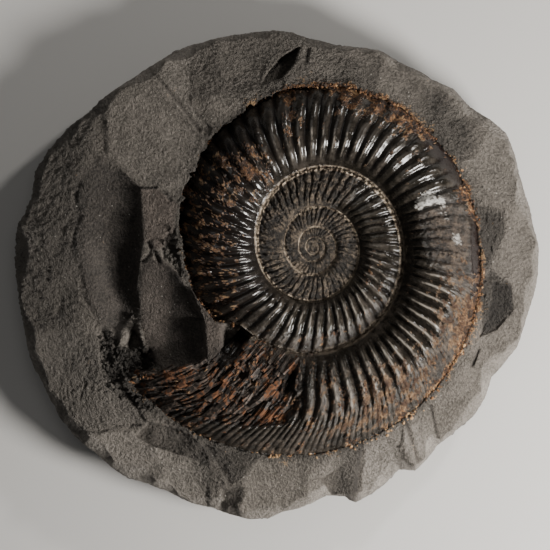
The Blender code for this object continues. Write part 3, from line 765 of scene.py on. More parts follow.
# Facets above and below the long hollow, and one beyond the long crease at the upper left.
BODY_FACET = [(-59.3, 58.0), (-44.5, 72.2), (-23.8, 46.4), (-25.0, 38.0), (-31.0, 28.5), (-36.4, 29.6),
              (-47.2, 29.2), (-58.6, 41.3)]
LOWER_FACET = [(-85.0, -20.7), (-69.6, -19.6), (-59.3, -23.0), (-55.0, -30.0), (-50.0, -42.0), (-44.6, -51.3),
               (-54.0, -52.0), (-63.7, -55.0), (-72.0, -62.0), (-92.0, -50.0)]
CREASE_FACET = [(-44.5, 71.2), (-23.5, 47.4), (-22.8, 50.5), (-29.7, 58.1), (-29.0, 79.8)]
# The second scoop's right side, darkened with painted shade, and the hole, the deep place and the shattered
# rock by the lower plate.
CONCAVE_SHADE = [(-36.5, 1.0), (-33.5, 0.3), (-30.7, -5.2), (-25.9, -15.5), (-25.2, -23.4), (-25.9, -29.3),
           (-29.0, -33.5), (-36.0, -33.0), (-38.0, -22.0), (-36.2, -8.6), (-35.9, -3.1)]
HOLE = [(-52.5, -25.5), (-49.4, -18.9), (-47.0, -21.5), (-45.2, -25.8)]
DEEP = [(-47.6, -26.2), (-43.8, -25.8), (-42.4, -31.0), (-42.4, -38.0), (-45.6, -38.9), (-47.6, -34.4)]
SHATTERED = [(-59.5, -19.0), (-55.0, -24.5), (-51.0, -26.0), (-45.5, -25.0), (-41.0, -33.4), (-38.0, -41.3),
             (-46.0, -46.0), (-54.1, -41.0), (-59.0, -33.4), (-59.7, -24.4)]
# How far these stand up over the face or lie below it, mm, and how wide the slope on their edge is.
LEVELS = [
    (UPPER_PLATE, 0.5, 0.8), (LOWER_PLATE, 0.5, 0.8), (LENS, -7.0, 1.0), (CRUMBLED, -1.4, 1.5),
    (BODY_FACET, 0.5, 0.8), (LOWER_FACET, -0.7, 1.0), (HOLE, -5.0, 0.8), (DEEP, -6.0, 2.0),
    (SHATTERED, -1.8, 5.0),
]
# The pitted line along the long hollow, how wide it is, and the brown oval stain in the hollow: its middle
# and its half sizes.
PIT_LINE = [(-68.2, 30.9), (-69.2, 26.1), (-68.2, 18.9), (-69.9, 13.4), (-68.9, 5.8), (-67.2, -1.4),
            (-65.5, -8.6), (-61.0, -15.5), (-54.8, -24.1)]
PIT_LINE_WIDTH = 1.6
STAIN_AT, STAIN_HALF = (-57.5, 8.0), (12.0, 30.0)
# Cracks and creases: the line, how wide and how deep.
CRACKS = [
    ([(-44.1, 71.2), (-35.4, 60.9), (-26.6, 49.7)], 0.5, 0.8), ([(10.6, 77.4), (9.9, 73.2)], 0.6, 1.0),
    ([(-44.1, 11.3), (-43.1, 8.9), (-43.4, 7.2), (-46.0, 4.8)], 0.45, 1.3),
    ([(-42.1, 8.2), (-40.5, 4.8)], 0.45, 1.3), ([(-39.0, 8.9), (-38.3, 6.2)], 0.45, 1.2),
    ([(-64.4, 0.3), (-58.0, 2.4), (-52.4, 2.4)], 0.7, 0.35), ([(-36.2, 25.4), (-39.0, 29.0)], 0.4, 0.5),
    ([(69.0, -25.8), (67.0, -31.0)], 0.4, 1.0), ([(43.9, -49.9), (47.4, -61.9), (48.4, -64.4)], 0.8, 0.8),
    ([(29.1, -58.5), (27.4, -74.0)], 0.9, 0.8), ([(-47.2, 29.9), (-41.4, 29.9)], 0.35, 0.5),
    ([(52.5, -44.8), (55.0, -55.8)], 0.5, 0.6),
]
# Areas with a coarser break: the outline, how coarse, and how softly it ends.
COARSE_AREAS = [
    ([(-95.0, -21.0), (-69.0, -19.0), (-68.5, 8.6), (-70.6, 22.3), (-66.0, 42.0), (-58.0, 60.0),
      (-70.0, 70.0), (-100.0, 40.0)], 0.75, 8.0),
    (SCAR, 1.0, 1.5), (SHATTERED, 1.0, 4.0), (CRUMBLED, 0.9, 2.0), (LOWER_FACET, 0.45, 6.0),
    ([(-29.0, 78.0), (-29.0, 60.0), (0.0, 62.0), (8.0, 62.0), (30.0, 56.0), (34.0, 66.0),
      (10.0, 90.0)], 0.3, 5.0),
    ([(66.0, 24.0), (78.0, 22.0), (78.0, 14.0), (72.0, 2.0), (67.0, 4.0)], 0.9, 2.0),
    ([(22.0, -58.0), (29.0, -57.0), (28.0, -77.0), (20.0, -74.0)], 0.6, 4.0),
    ([(-30.0, -62.0), (-22.0, -56.0), (-14.0, -68.0), (-24.0, -78.0)], 0.5, 4.0),
    ([(62.0, 58.0), (68.0, 44.0), (60.0, 38.0), (50.0, 50.0), (52.0, 62.0)], 0.5, 5.0),
]
# Areas of paler stone, or darker below zero, some of them painted shade: the outline, how pale, and how
# softly it ends.
TONED_AREAS = [
    (BODY_FACET, 0.1, 3.0), (LOWER_FACET, 0.25, 4.0), (UPPER_PLATE, -0.1, 1.0), (LOWER_PLATE, -0.6, 1.0),
    # The second scoop's right side is painted shade.
    (CONCAVE_SHADE, -0.25, 1.5), (STRIP, -0.15, 1.0), (SHATTERED, -0.6, 3.0),
    ([(60.0, 20.0), (90.0, 20.0), (90.0, -20.0), (66.0, -20.0)], -0.12, 12.0),
    # Painted shade: the face at the top right, which faces away from the key light, is darkened.
    ([(20.0, 76.0), (40.0, 64.0), (56.0, 50.0), (66.0, 60.0), (45.0, 78.0), (20.0, 88.0)], -0.3, 14.0),
    ([(16.0, -58.0), (30.0, -58.0), (48.0, -50.0), (55.0, -62.0), (30.0, -82.0), (10.0, -82.0)], 0.25, 10.0),
    ([(-66.5, 36.1), (-61.0, 39.5), (-53.4, 35.4), (-47.9, 30.2), (-46.2, 20.9), (-45.9, 12.3), (-47.2, 4.4),
      (-47.9, -8.6), (-47.6, -17.2), (-54.8, -22.4), (-61.0, -16.2), (-65.5, -8.6), (-68.6, 4.4),
      (-69.2, 15.4), (-68.6, 29.2)], -0.9, 5.0),
    (CREASE_FACET, 0.25, 1.0),
    ([(-29.0, 78.4), (-4.9, 83.6), (6.8, 77.7), (-1.1, 70.5), (-4.9, 66.0), (-13.5, 61.2), (-28.3, 62.9),
      (-29.7, 69.1)], -0.15, 4.0),
    ([(56.3, 53.3), (61.1, 61.2), (66.3, 56.0), (62.8, 54.0)], 0.35, 2.0),
    ([(66.3, 39.9), (73.2, 50.9), (79.0, 45.7), (82.8, 32.6), (79.0, 25.1), (73.9, 27.8),
      (67.3, 35.4)], 0.2, 6.0),
    ([(-89.2, 16.1), (-82.3, 16.8), (-81.6, 8.6), (-88.5, 7.2)], 0.5, 3.0),
]
# Flat faces between the flakes: the outline, height over the plain surface, how it rises along x and y, and
# how much paler it is, partly the stone's own tone and partly painted light and shade for the way it faces
# the light.
FACETS = [
    ([(-67.5, -54.4), (-50.0, -53.4), (-48.6, -55.1), (-43.4, -58.2), (-37.3, -60.2), (-28.7, -63.3),
      (-23.5, -66.1), (-23.8, -83.6), (-43.8, -80.2), (-66.2, -66.4)], 0.0, 0.0, 0.07, 0.3),
    ([(-48.6, -55.1), (-44.1, -50.6), (-33.8, -52.7), (-25.6, -58.2), (-21.8, -63.3), (-23.5, -66.1),
      (-28.7, -63.3), (-37.3, -60.2), (-43.4, -58.2)], -1.3, 0.14, -0.05, -0.45),
    ([(-25.6, -58.2), (-5.6, -62.0), (-9.4, -68.5), (-16.6, -71.9), (-21.8, -63.3)], -0.6, 0.17, 0.0, -0.4),
    ([(-19.0, -74.0), (-10.8, -72.3), (-11.5, -75.7), (-14.6, -78.8), (-11.8, -86.0), (-21.4, -82.6),
      (-19.0, -77.4)], -1.0, 0.2, 0.0, -0.3),
    ([(14.0, -69.9), (23.3, -64.4), (28.8, -58.9), (28.4, -63.7), (27.4, -67.8), (27.8, -79.5),
      (18.8, -76.7)], -0.2, 0.2, 0.0, -0.4),
    ([(28.8, -58.9), (43.2, -50.9), (42.9, -56.8), (41.5, -59.2), (43.2, -63.0), (47.0, -67.1), (38.8, -74.7),
      (27.8, -79.5), (27.4, -67.8), (28.4, -63.7)], -0.7, 0.03, 0.0, 0.35),
    ([(43.2, -51.3), (50.8, -49.9), (58.4, -58.5), (47.7, -67.1), (43.9, -62.0),
      (42.9, -56.8)], 0.3, -0.05, 0.0, 0.2),
    ([(53.2, 65.0), (60.4, 64.3), (61.1, 61.2), (56.7, 54.7), (52.5, 57.4)], -0.5, 0.06, 0.0, -0.25),
    ([(57.7, 52.9), (66.3, 55.3), (73.2, 51.6), (67.3, 40.6), (62.2, 39.2),
      (59.1, 47.1)], -0.6, 0.07, 0.0, -0.3),
    ([(69.4, 21.3), (76.3, 21.3), (76.3, 16.1), (71.4, 3.4), (69.4, 9.6)], -0.4, 0.03, 0.0, -0.35),
    ([(73.9, -1.8), (80.4, -3.8), (80.7, -12.1), (75.2, -18.6), (69.4, -21.0),
      (73.2, -9.7)], -1.0, 0.08, 0.0, -0.8),
    (CREASE_FACET, -0.3, -0.04, 0.0, 0.0),
    ([(-54.5, -24.8), (-53.8, -19.0), (-51.7, -15.2), (-49.6, -13.8), (-49.3, -16.2),
      (-51.0, -21.0)], 2.0, -0.1, 0.0, 0.2),
]
# How wide the slope on a facet's edge is, mm.
FACET_SOFTNESS = 0.9
# The face's features fade out this near to the shell, and the face stays this far over its side's top, mm.
FEATURE_FADE, LEAST_OVER_SIDE = 3.0, 0.3
# How round the shoulder inside the rim is, and how pale it is where the break is old and where it is fresh,
# partly the break's own paleness and partly a painted highlight on edges that face the light.
SHOULDER_POWER, RIM_PALE_AND_HIGHLIGHT, FRESH_PALE_AND_HIGHLIGHT = 0.7, 0.65, 1.3
# Inside the pocket the rock goes down to these heights, where its outline has these sizes.
POCKET_ROWS = [(20.0, 1.0), (14.0, 0.9)]
# How far the strip stands up and the gap goes down, mm.
STRIP_RISE, GAP_DEPTH = 2.5, 9.0
# How strongly the weather has worked small chips, swells, lumps, grain and pits into the rock, mm.
WEATHER = {"Chip depth": 0.9, "Swell": 2.7, "Lump height": 1.25, "Grain height": 2.3, "Pit depth": 0.5}


def eased(values, start, end):
    """Go smoothly from 0 at start to 1 at end, for arrays."""
    share = np.clip((values - start) / (end - start), 0.0, 1.0)
    return share * share * (3.0 - 2.0 * share)


def distance_to(x, y, points, closed=False):
    """Distance of each place from a line through points, and whether the closed line holds it."""
    nearest = np.full(x.shape, np.inf)
    inside = np.zeros(x.shape, bool)
    ends = points[1:] + points[:1] if closed else points[1:]
    for (ax, ay), (bx, by) in zip(points, ends):
        share = ((x - ax) * (bx - ax) + (y - ay) * (by - ay)) / ((bx - ax) ** 2 + (by - ay) ** 2)
        share = np.clip(share, 0.0, 1.0)
        nearest = np.minimum(nearest, np.hypot(x - ax - share * (bx - ax), y - ay - share * (by - ay)))
        crosses = (ay > y) != (by > y)
        inside ^= crosses & (x < ax + (y - ay) * (bx - ax) / (by - ay if by != ay else 1.0))
    return nearest, inside


def within(x, y, corners, softness):
    """1 inside an outline and 0 outside, with a slope of the given width on its edge."""
    nearest, inside = distance_to(x, y, corners, True)
    return eased(np.where(inside, nearest, -nearest), -softness / 2, softness / 2)


def coil_polar(x, y):
    """Turn, from 0 to 1, and radius of places in plan."""
    turn = np.arctan2(y - COIL_AT[1], COIL_AT[0] - x) / (2 * math.pi)
    return turn % 1.0, np.hypot(x - COIL_AT[0], y - COIL_AT[1])


def from_polar(turns, radii):
    """Places in plan, as rows of x and y."""
    angles = 2 * math.pi * turns
    return np.stack((COIL_AT[0] - radii * np.cos(angles), COIL_AT[1] + radii * np.sin(angles)), axis=1)


rim_turns, rim_radii = coil_polar(*np.array(RIM).T)
rim_order = np.argsort(rim_turns)


def rim_at(turns):
    """The rim's radius."""
    return np.interp(turns % 1.0, rim_turns[rim_order], rim_radii[rim_order], period=1.0)


def dome_height(x, y):
    """Height of the face before anything was broken off it."""
    turns, radii = coil_polar(x, y)
    across = np.minimum(radii / rim_at(turns), 1.0)
    return RIM_HEIGHT + DOME_RISE * (1.0 - across ** 2) ** DOME_POWER


# Chips along the rim: how far in each one bites, falling to nothing at its ends.
chance = np.random.default_rng(RIM_CHIP_SEED)
fresh_x, fresh_y, fresh_half_lengths, fresh_depths = np.array(FRESH_CHIPS).T
chip_turns = (np.arange(RIM_CHIPS) + chance.uniform(-0.8, 0.8, RIM_CHIPS)) / RIM_CHIPS
chip_turns = np.append(chip_turns, coil_polar(fresh_x, fresh_y)[0])
chip_half_lengths = chance.uniform(*CHIP_HALF_LENGTHS, RIM_CHIPS)
chip_depths = chance.uniform(*CHIP_DEPTHS, RIM_CHIPS) * chip_half_lengths / CHIP_HALF_LENGTHS[1]
chip_half_lengths = np.append(chip_half_lengths, fresh_half_lengths)
chip_depths = np.append(chip_depths, fresh_depths)


def broken_rim(turns):
    """Width of the broken edge inside the rim, and how fresh the break is."""
    away = np.abs((turns[:, None] - chip_turns + 0.5) % 1.0 - 0.5) * 2 * math.pi * rim_at(turns)[:, None]
    shares = np.maximum(1.0 - (away / chip_half_lengths) ** 2, 0.0)
    return SHARPEST_RIM + np.max(chip_depths * shares, axis=1), np.max(shares[:, RIM_CHIPS:], axis=1)


def feature_height(x, y):
    """Height of the face's features over its plain surface."""
    cut = np.zeros(x.shape)
    for flake_x, flake_y, depth, bowl in FLAKES:
        cut = np.maximum(cut, depth - ((x - flake_x) ** 2 + (y - flake_y) ** 2) / (2 * bowl))
    height = -cut
    for rows, (left_share, even) in zip(SCOOPS, SCOOP_SHAPES):
        heights, *profile = (np.array(column)[::-1] for column in zip(*rows))
        left, edge, edge_depth, floor_depth, curve = (np.interp(y, heights, values) for values in profile)
        up = np.clip((edge - x) / curve, 0.0, 1.0)
        up = even * up + (1.0 - even) * (1.0 - (1.0 - up) ** 2.5)
        out = left_share + (1.0 - left_share) * eased(x, left, np.minimum(left + 12.0, edge))
        inside = (x < edge) & (x > left) & (y > heights[0]) & (y < heights[-1])
        height -= inside * np.minimum(edge_depth + (floor_depth - edge_depth) * up, floor_depth * out)
    for outline, level, softness in LEVELS:
        height += level * within(x, y, outline, softness)
    for outline, offset, rise_x, rise_y, tone in FACETS:
        middle_x, middle_y = np.mean(outline, axis=0)
        plane = offset + rise_x * (x - middle_x) + rise_y * (y - middle_y)
        height += within(x, y, outline, FACET_SOFTNESS) * plane
    for line, width, depth in CRACKS:
        height -= depth * np.exp(-(distance_to(x, y, line)[0] / width) ** 2)
    return height


def rock_edge_heights():
    """Height of the rock along the edge of the shell's pocket."""
    turns = coil_polar(*shell_outline[:, :2].T)[0]
    over = read_off(turns, ROCK_OVER_SHELL)
    heights = dome_height(*shell_outline[:, :2].T)
    heights[:shell_tip + 1] = (shell_outline[:, 2] + over)[:shell_tip + 1]
    spread = 12
    padded = np.concatenate((heights[-spread:], heights, heights[:spread]))
    return np.convolve(padded, np.ones(2 * spread + 1) / (2 * spread + 1), "valid")


# The rock's edge starts a little outside the shell's skin and is jagged, most where it stands high over the
# shell: how many points there are, the seed, how far outside it starts and how far in it reaches, mm.
EDGE_POINTS, EDGE_SEED, EDGE_OUTSET, LEAST_REACH, MOST_REACH = 150, 6, 0.2, 0.4, 2.0
chance = np.random.default_rng(EDGE_SEED)
edge_places = np.sort(chance.uniform(0.0, 1.0, EDGE_POINTS))
edge_reaches = chance.uniform(0.0, 1.0, EDGE_POINTS)


def jagged(turns, plan):
    """Move places on the pocket's edge in over the shell."""
    over = read_off(turns % 1.0, ROCK_OVER_SHELL) * (turns % 1.0 < BROKEN_END)
    reach = np.interp(turns % 1.0, edge_places, edge_reaches, period=1.0) ** 1.5
    reach = reach * (LEAST_REACH + (MOST_REACH - LEAST_REACH) * eased(over, 2.0, 7.0))
    inward = np.array(COIL_AT) - plan
    return plan + inward / np.linalg.norm(inward, axis=1)[:, None] * reach[:, None]


def rock_plan():
    """The rim and the edge of the shell's pocket (with its height), as points that face one another."""
    pocket = shell_outline[:, :2]
    along = np.roll(pocket, -1, axis=0) - np.roll(pocket, 1, axis=0)
    along /= np.linalg.norm(along, axis=1)[:, None]
    pocket = pocket + EDGE_OUTSET * np.stack((-along[:, 1], along[:, 0]), axis=1)
    # Rows fan out from the broken end, so that they don't cross the concave corner there.
    turns = coil_polar(*shell_outline[:, :2].T)[0]
    tail = np.vstack((shell_outline[shell_tip:, :2], shell_outline[:1, :2]))
    lengths = np.cumsum(np.linalg.norm(np.diff(tail, axis=0), axis=1))
    start, left = turns[shell_tip], turns[0] + 1.0 - turns[shell_tip]
    turns[shell_tip + 1:] = start + left * (lengths[:-1] / lengths[-1]) ** 0.75
    rim = from_polar(turns, rim_at(turns))
    # Even columns along the line half way between rim and pocket.
    halfway = (rim + pocket) / 2
    steps = np.linalg.norm(np.roll(halfway, -1, axis=0) - halfway, axis=1)
    places = np.concatenate(([0.0], np.cumsum(steps)))
    wanted = np.arange(ROCK_COLUMNS) / ROCK_COLUMNS * places[-1]
    turns = np.interp(wanted, places, np.append(turns, turns[0] + 1.0))
    closed = np.column_stack((pocket, rock_edge_heights()))
    closed = np.vstack((closed, closed[:1]))
    pocket = np.stack([np.interp(wanted, places, closed[:, axis]) for axis in (0, 1, 2)], axis=1)
    return turns, from_polar(turns, rim_at(turns)), jagged(turns, pocket[:, :2]), pocket[:, 2]


def rock_mesh():
    """The nodule as rings: flat base, side, rim, face, and down into the shell's pocket."""
    turns, rim, pocket, pocket_heights = rock_plan()
    shoulder, fresh = broken_rim(turns)
    everywhere = np.ones(ROCK_COLUMNS)
    rings = []
    marks = {name: [] for name in
             ("surface", "coarse", "brown", "pale", "dark", "beside", "shattered", "pitted")}

    def add_ring(plan, height, **shares):
        rings.append(np.column_stack((plan, height * everywhere)))
        for name, values in marks.items():
            values.append(shares.get(name, 0.0) * everywhere)

    heights, sizes = zip(*SIDE)
    for row in range(SIDE_ROWS):
        size = sizes[0] + (1.0 - sizes[0]) * math.sin(0.5 * math.pi * row / (SIDE_ROWS - 1))
        height = float(np.interp(size, sizes, heights))
        add_ring(rim * size, height, surface=min((row / 5) ** 2, 1.0), coarse=0.5)
    for row in range(FACE_ROWS + 1):
        plan = rim + row / FACE_ROWS * (pocket - rim)
        x, y = plan.T
        coarse = sum(level * within(x, y, outline, softness) for outline, level, softness in COARSE_AREAS)
        pale = sum(level * within(x, y, outline, softness) for outline, level, softness in TONED_AREAS)
        # Facet tones: partly the stone's own, partly painted light and shade.
        pale = pale + sum(tone * within(x, y, outline, FACET_SOFTNESS) for outline, *slope, tone in FACETS)
        pale = pale - sum(np.exp(-(distance_to(x, y, crack)[0] / max(width, 0.5)) ** 2)
                          for crack, width, depth in CRACKS)
        from_stain = np.hypot((x - STAIN_AT[0]) / STAIN_HALF[0], (y - STAIN_AT[1]) / STAIN_HALF[1])
        brown = sum(within(x, y, outline, 1.0) for outline in (UPPER_PLATE, LOWER_PLATE, STRIP))
        brown = brown + 0.8 * (1.0 - eased(from_stain, 0.6, 1.0))
        away, width = np.linalg.norm(pocket - plan, axis=1), np.linalg.norm(pocket - rim, axis=1)
        height = pocket_heights + (SHOULDER_HEIGHT - pocket_heights) * away / width
        from_rim = (width - away) / shoulder
        height = RIM_HEIGHT + (height - RIM_HEIGHT) * np.clip(from_rim, 0.0, 1.0) ** SHOULDER_POWER
        # Painted highlight along the rim's edge, partly the paler break itself.
        pale = pale + (RIM_PALE_AND_HIGHLIGHT + FRESH_PALE_AND_HIGHLIGHT * fresh) * eased(from_rim, 1.3, 0.6)
        height = height + feature_height(x, y) * eased(away, 0.0, FEATURE_FADE)
        height = np.maximum(height, SIDE[-1][0] + LEAST_OVER_SIDE)
        height = height + STRIP_RISE * within(x, y, STRIP, 0.8) - GAP_DEPTH * within(x, y, GAP, 1.2)
        coarse = coarse + np.exp(-away / 1.5)
        add_ring(plan, height, surface=1.0, coarse=np.clip(coarse, 0.0, 1.0), dark=np.clip(-pale, 0.0, 1.0),
                 brown=np.clip(brown, 0.0, 1.0), pale=np.clip(pale, 0.0, 1.0),
                 beside=np.exp(-away / 2.0) * read_off(turns % 1.0, EDGE_RUST),
                 shattered=within(x, y, SHATTERED, 3.0) + 0.3 * within(x, y, CRUMBLED, 1.0),
                 pitted=np.exp(-(distance_to(x, y, PIT_LINE)[0] / PIT_LINE_WIDTH) ** 2))
    for height, size in POCKET_ROWS:
        add_ring(np.array(COIL_AT) + size * (pocket - np.array(COIL_AT)), height)
    index = np.arange(len(rings) * ROCK_COLUMNS).reshape(len(rings), ROCK_COLUMNS)
    after = np.roll(index, -1, axis=1)
    quads = np.stack((index[:-1], index[1:], after[1:], after[:-1]), axis=2).reshape(-1, 4)
    mesh = bpy.data.meshes.new("rings")
    mesh.from_pydata((np.vstack(rings) * MM).tolist(), [],
                     quads.tolist() + [index[0].tolist(), index[-1][::-1].tolist()])
    for name, values in marks.items():
        mark(mesh, name, np.concatenate(values))
    return mesh


def weathered_graph(material):
    """Work the grain and small chips of the rock into its surface."""
    graph, sizes = geometry_graph("weathered", list(WEATHER))
    place = graph.node("GeometryNodeInputPosition", {})
    coarse, surface = graph.attribute("coarse"), graph.attribute("surface")
    bend = graph.node("ShaderNodeTexNoise", {}, Vector=place, Scale=60.0, Detail=2.0).other("Color")
    bend = graph.node("ShaderNodeVectorMath", {"operation": "SCALE"}, bend, Scale=0.02)
    bent = graph.node("ShaderNodeVectorMath", {"operation": "ADD"}, place, bend)
    chips = graph.node("ShaderNodeTexVoronoi", {}, Vector=bent, Scale=90.0)
    small_chips = graph.node("ShaderNodeTexVoronoi", {}, Vector=bent, Scale=300.0)
    swell = graph.noise(place, 45.0, 3.0, 0.5)
    lumps = graph.noise(place, 560.0, 4.0, 0.6)
    grain = graph.noise(place, 900.0, 4.0, 0.65)
    depth = (chips * chips - 0.2) * (0.25 + coarse) + small_chips * small_chips * coarse * 0.35
    depth = depth * sizes["Chip depth"]
    depth = depth + swell * sizes["Swell"] + lumps * sizes["Lump height"] * (0.12 + coarse)
    depth = depth + grain * sizes["Grain height"] * (0.3 + coarse)
    pits = graph.attribute("pitted") + graph.noise(place, 380.0, 3.0, 0.6) * 3.0
    depth = depth - pits.ease(0.75, 1.1) * sizes["Pit depth"]
    normal = graph.node("GeometryNodeInputNormal", {})
    offset = graph.node("ShaderNodeVectorMath", {"operation": "SCALE"}, normal, Scale=depth * surface * MM)
    moved = graph.node("GeometryNodeSetPosition", {}, sizes["Geometry"], Offset=offset)
    finish_graph(graph, graph.node("GeometryNodeSetShadeSmooth", {}, moved), material)
    return graph


def rock_material():
    """Fine-grained grey limestone: pale chips, darker stains, painted light and shade on some facets, hollows
    and the rim, and a granular break.
    """
    material, shader, graph = surface_material("nodule_rock", 0.85)
    place = graph.place()
    coarse, brown, beside = (graph.attribute(name) for name in ("coarse", "brown", "beside"))
    pale, dark, pitted = (graph.attribute(name) for name in ("pale", "dark", "pitted"))
    cloud = graph.noise(place, 28.0, 4.0, 0.6)
    mottle = graph.noise(place, 180.0, 5.0, 0.7)
    grain = graph.noise(place, 1100.0, 3.0, 0.7)
    tone = (cloud * 1.2 + mottle * 1.9 + grain * 3.2 + 0.5).math("MAXIMUM", 0.0).math("MINIMUM", 1.2)
    colour = mix(graph, tone, (0.075, 0.066, 0.054), (0.165, 0.145, 0.124))
    colour = mix(graph, brown * 0.8, colour, mix(graph, tone, (0.07, 0.055, 0.045), (0.135, 0.107, 0.089)))
    colour = mix(graph, pale, colour, mix(graph, tone, (0.13, 0.116, 0.1), (0.27, 0.245, 0.215)))
    colour = mix(graph, dark, colour, mix(graph, tone, (0.02, 0.017, 0.014), (0.06, 0.051, 0.043)))
    colour = toned(graph, coarse * (0.25 + mottle * 2.6 + grain * 3.0), colour, (0.035, 0.03, 0.024))
    colour = mix(graph, (pitted + mottle * 3.0 - 0.5).ease(0.1, 0.6) * 0.6, colour, (0.03, 0.026, 0.021))
    rusty = (beside * 1.4 + mottle * 3.0 + grain * 2.0 - 0.5).ease(0.2, 0.6)
    colour = mix(graph, rusty, colour, rust_colour(graph, mottle * 2.0 + grain * 2.0 + 0.45))
    specks = graph.node("ShaderNodeTexVoronoi", {}, Vector=place, Scale=300.0)
    colour = mix(graph, specks.ease(0.085, 0.05) * 0.6, colour, (0.4, 0.38, 0.34))
    relief = grain * 2.4 + graph.noise(place, 700.0, 3.0, 0.6) * 1.4 + graph.noise(place, 2600.0, 2.0) * 0.8
    dress(graph, shader, colour, relief=relief * (0.45 + coarse * 1.7))
    return material


rock = rock_material()
nodule = grown("rock_nodule", rock_mesh(), weathered_graph(rock), WEATHER)
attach(nodule, "root")
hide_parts("matrix")

# ---------------------------------------------------------------------------------------------
# Crumbs of rust along the shell's edge.
# Small grains of orange and cream crust that fill the joint between shell and rock; thick at the
# top and the right, thinner elsewhere.
# ---------------------------------------------------------------------------------------------

# How pale the grains are, by turn of the shell's edge: dark orange at the top, cream at the bottom.
EDGE_PALENESS = [(0.0, 0.15), (0.3, 0.07), (0.45, 0.2), (0.55, 0.3), (0.68, 0.55), (0.8, 0.55), (0.905, 0.1)]
# Layers of grains: seed, and how far they spread from the joint, mm.
CRUMB_LAYERS = [(31, (0.8, 0.8, 0.3)), (32, (1.3, 1.3, 0.5)), (33, (0.5, 0.5, 0.3)), (34, (1.9, 1.9, 0.5)),
                (35, (1.1, 1.1, 0.4))]
# The joint lies this far under the rock's edge, but no further than this over the shell, mm.
JOINT_UNDER_ROCK, JOINT_OVER_SHELL = 0.8, 1.6
# The grains' sizes in metres, and how flat they are.
CRUMBS, CRUMB_FLATNESS = {"Smallest": 0.00018, "Largest": 0.0008}, 0.8


def scattered(graph, points, share, seed, sizes, flatness):
    """Grains on some of the points, each turned and sized at random, with a tone for its colour."""
    left_out = graph.random(seed, 0.0, 1.0).math("GREATER_THAN", share)
    points = graph.node("GeometryNodeDeleteGeometry", {}, points, left_out)
    low, high = (graph.vector(size, size, size * flatness) for size in (sizes["Smallest"], sizes["Largest"]))
    stretch = graph.node("FunctionNodeRandomValue", {"data_type": "FLOAT_VECTOR"}, low, high, Seed=seed + 2)
    grains = graph.node("GeometryNodeInstanceOnPoints", {}, points,
                        Instance=graph.node("GeometryNodeMeshIcoSphere", {}, 1.0, 1),
                        Rotation=graph.random(seed + 1, (0.0, 0.0, 0.0), (6.28, 6.28, 6.28)), Scale=stretch)
    return graph.store(grains, "tone", graph.random(seed + 3, 0.0, 1.0), "INSTANCE")


def crumb_graph(material):
    """Grains scattered along a line of points."""
    graph, sizes = geometry_graph("crumbs", list(CRUMBS))
    layers = graph.node("GeometryNodeJoinGeometry", {})
    for seed, spread in CRUMB_LAYERS:
        low, high = (tuple(reach * side for reach in spread) for side in (-MM, MM))
        offset = graph.random(seed + 10, low, high)
        points = graph.node("GeometryNodeSetPosition", {}, sizes["Geometry"], Offset=offset)
        clumped = graph.noise(graph.node("GeometryNodeInputPosition", {}), 260.0, 3.0) * 4.0 + 0.45
        share = graph.attribute("share") * clumped
        grains = scattered(graph, points, share, seed * 10, sizes, CRUMB_FLATNESS)
        graph.link(grains, layers.socket.node.inputs[0])
    finish_graph(graph, layers, material)
    return graph


def crumb_material():
    """Orange to cream rust."""
    material, shader, graph = surface_material("rust_crumbs", 0.8)
    place = graph.place()
    tone = graph.attribute("tone") * 0.5 + graph.noise(place, 900.0, 3.0) * 2.0 + graph.attribute("paleness")
    dress(graph, shader, rust_colour(graph, tone))
    return material


joint_turns = coil_polar(*shell_outline[:, :2].T)[0]
joint_heights = np.maximum(shell_outline[:, 2], rock_edge_heights() - JOINT_UNDER_ROCK)
joint_heights = np.minimum(joint_heights, shell_outline[:, 2] + JOINT_OVER_SHELL)
joint = np.column_stack((jagged(joint_turns, shell_outline[:, :2]), joint_heights))
shares = read_off(joint_turns, EDGE_RUST)
# Past the shell's tip there are none along its broken end, and many along the bare inner whorl.
shares[shell_tip:] = read_off(joint_turns[shell_tip:], [(0.868, 0.0), (0.9, 0.9)])
paleness = read_off(joint_turns, EDGE_PALENESS)
line = bpy.data.meshes.new("joint")
line.from_pydata((joint * MM).tolist(), [], [])
mark(line, "share", shares)
mark(line, "paleness", paleness)
crumbs = grown("rust_crumbs", line, crumb_graph(crumb_material()), CRUMBS)
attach(crumbs, "root")

# ---------------------------------------------------------------------------------------------
# Rubble where the rock shattered.
# Angular shards of the same rock, loose in the dips beside the plates and at the shell's tip.
# ---------------------------------------------------------------------------------------------

# How thickly the shards lie where the rock is most shattered, their sizes in metres, how flat they are, and
# the seeds of their places and of their sizes.
RUBBLE = {"Shards per square metre": 1200000.0, "Smallest": 0.0004, "Largest": 0.0018}
RUBBLE_FLATNESS, PLACES_SEED, SHARDS_SEED = 0.6, 7, 400


def rubble_graph(material):
    """Shards on the parts of the nodule that are marked as shattered."""
    graph, sizes = geometry_graph("rubble", list(RUBBLE))
    spots = graph.node("GeometryNodeDistributePointsOnFaces", {}, sizes["Geometry"], Seed=PLACES_SEED,
                       Density=graph.attribute("shattered") * sizes["Shards per square metre"])
    finish_graph(graph, scattered(graph, spots, 1.0, SHARDS_SEED, sizes, RUBBLE_FLATNESS), material)
    return graph


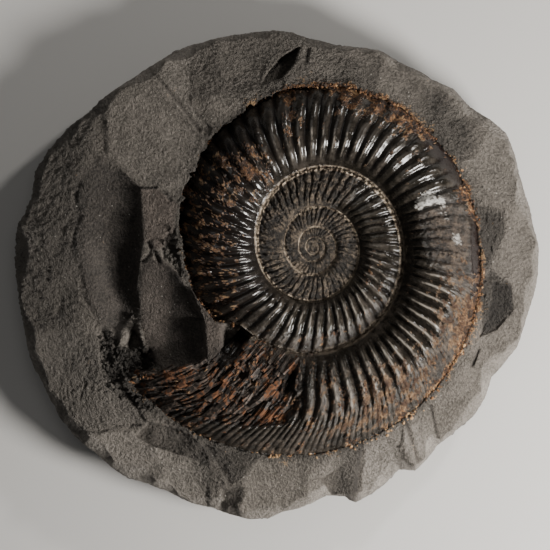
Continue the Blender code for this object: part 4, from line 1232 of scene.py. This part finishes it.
rubble = grown("rubble", nodule.data.copy(), rubble_graph(rock), RUBBLE)
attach(rubble, "root")

# ---------------------------------------------------------------------------------------------
# The view.
# A pale, matt floor; a soft key light, rather low at the near right, a smaller and weaker one at the far
# right, a wide fill from nearly above, and a faint even light from all round.
# ---------------------------------------------------------------------------------------------

WARM_WHITE = (1.0, 0.97, 0.93)
# Lights: azimuth and elevation in degrees, distance and size in metres, and power in watts.
LIGHTS = {"key": (-30.0, 34.0, 0.47, 0.15, 4.5), "second": (48.0, 34.0, 0.6, 0.06, 1.3),
          "fill": (120.0, 75.0, 1.2, 0.8, 1.1)}

floor_mesh = bpy.data.meshes.new("floor")
floor_mesh.from_pydata([(-3, -3, 0), (3, -3, 0), (3, 3, 0), (-3, 3, 0)], [], [(0, 1, 2, 3)])
floor = added("floor", floor_mesh)
floor_material, floor_shader = surface_material("floor", 0.9)[:2]
floor_shader.inputs["Base Color"].default_value = (0.6, 0.59, 0.57, 1.0)
floor_mesh.materials.append(floor_material)


def area_light(name, azimuth, elevation, distance, size, power):
    """A round light that looks at the object's middle; azimuth runs anticlockwise from +X."""
    light = bpy.data.lights.new(name, "AREA")
    light.shape, light.size, light.energy, light.color = "DISK", size, power, WARM_WHITE
    lamp = added(name, light)
    azimuth, elevation = math.radians(azimuth), math.radians(elevation)
    toward = np.array([math.cos(azimuth) * math.cos(elevation), math.sin(azimuth) * math.cos(elevation),
                       math.sin(elevation)])
    lamp.location = toward * distance
    lamp.rotation_euler = (math.pi / 2 - elevation, 0.0, azimuth + math.pi / 2)


for light_name, settings in LIGHTS.items():
    area_light(light_name, *settings)

world = bpy.data.worlds.new("studio")
world.use_nodes = True
world.node_tree.nodes["Background"].inputs["Color"].default_value = (0.8, 0.82, 0.85, 1.0)
world.node_tree.nodes["Background"].inputs["Strength"].default_value = 0.065
bpy.context.scene.world = world

camera = added("camera", bpy.data.cameras.new("camera"))
camera.data.lens, camera.data.sensor_width = 380.0, 36.0
camera.location = (-0.0008, 0.0, 2.015)
bpy.context.scene.camera = camera
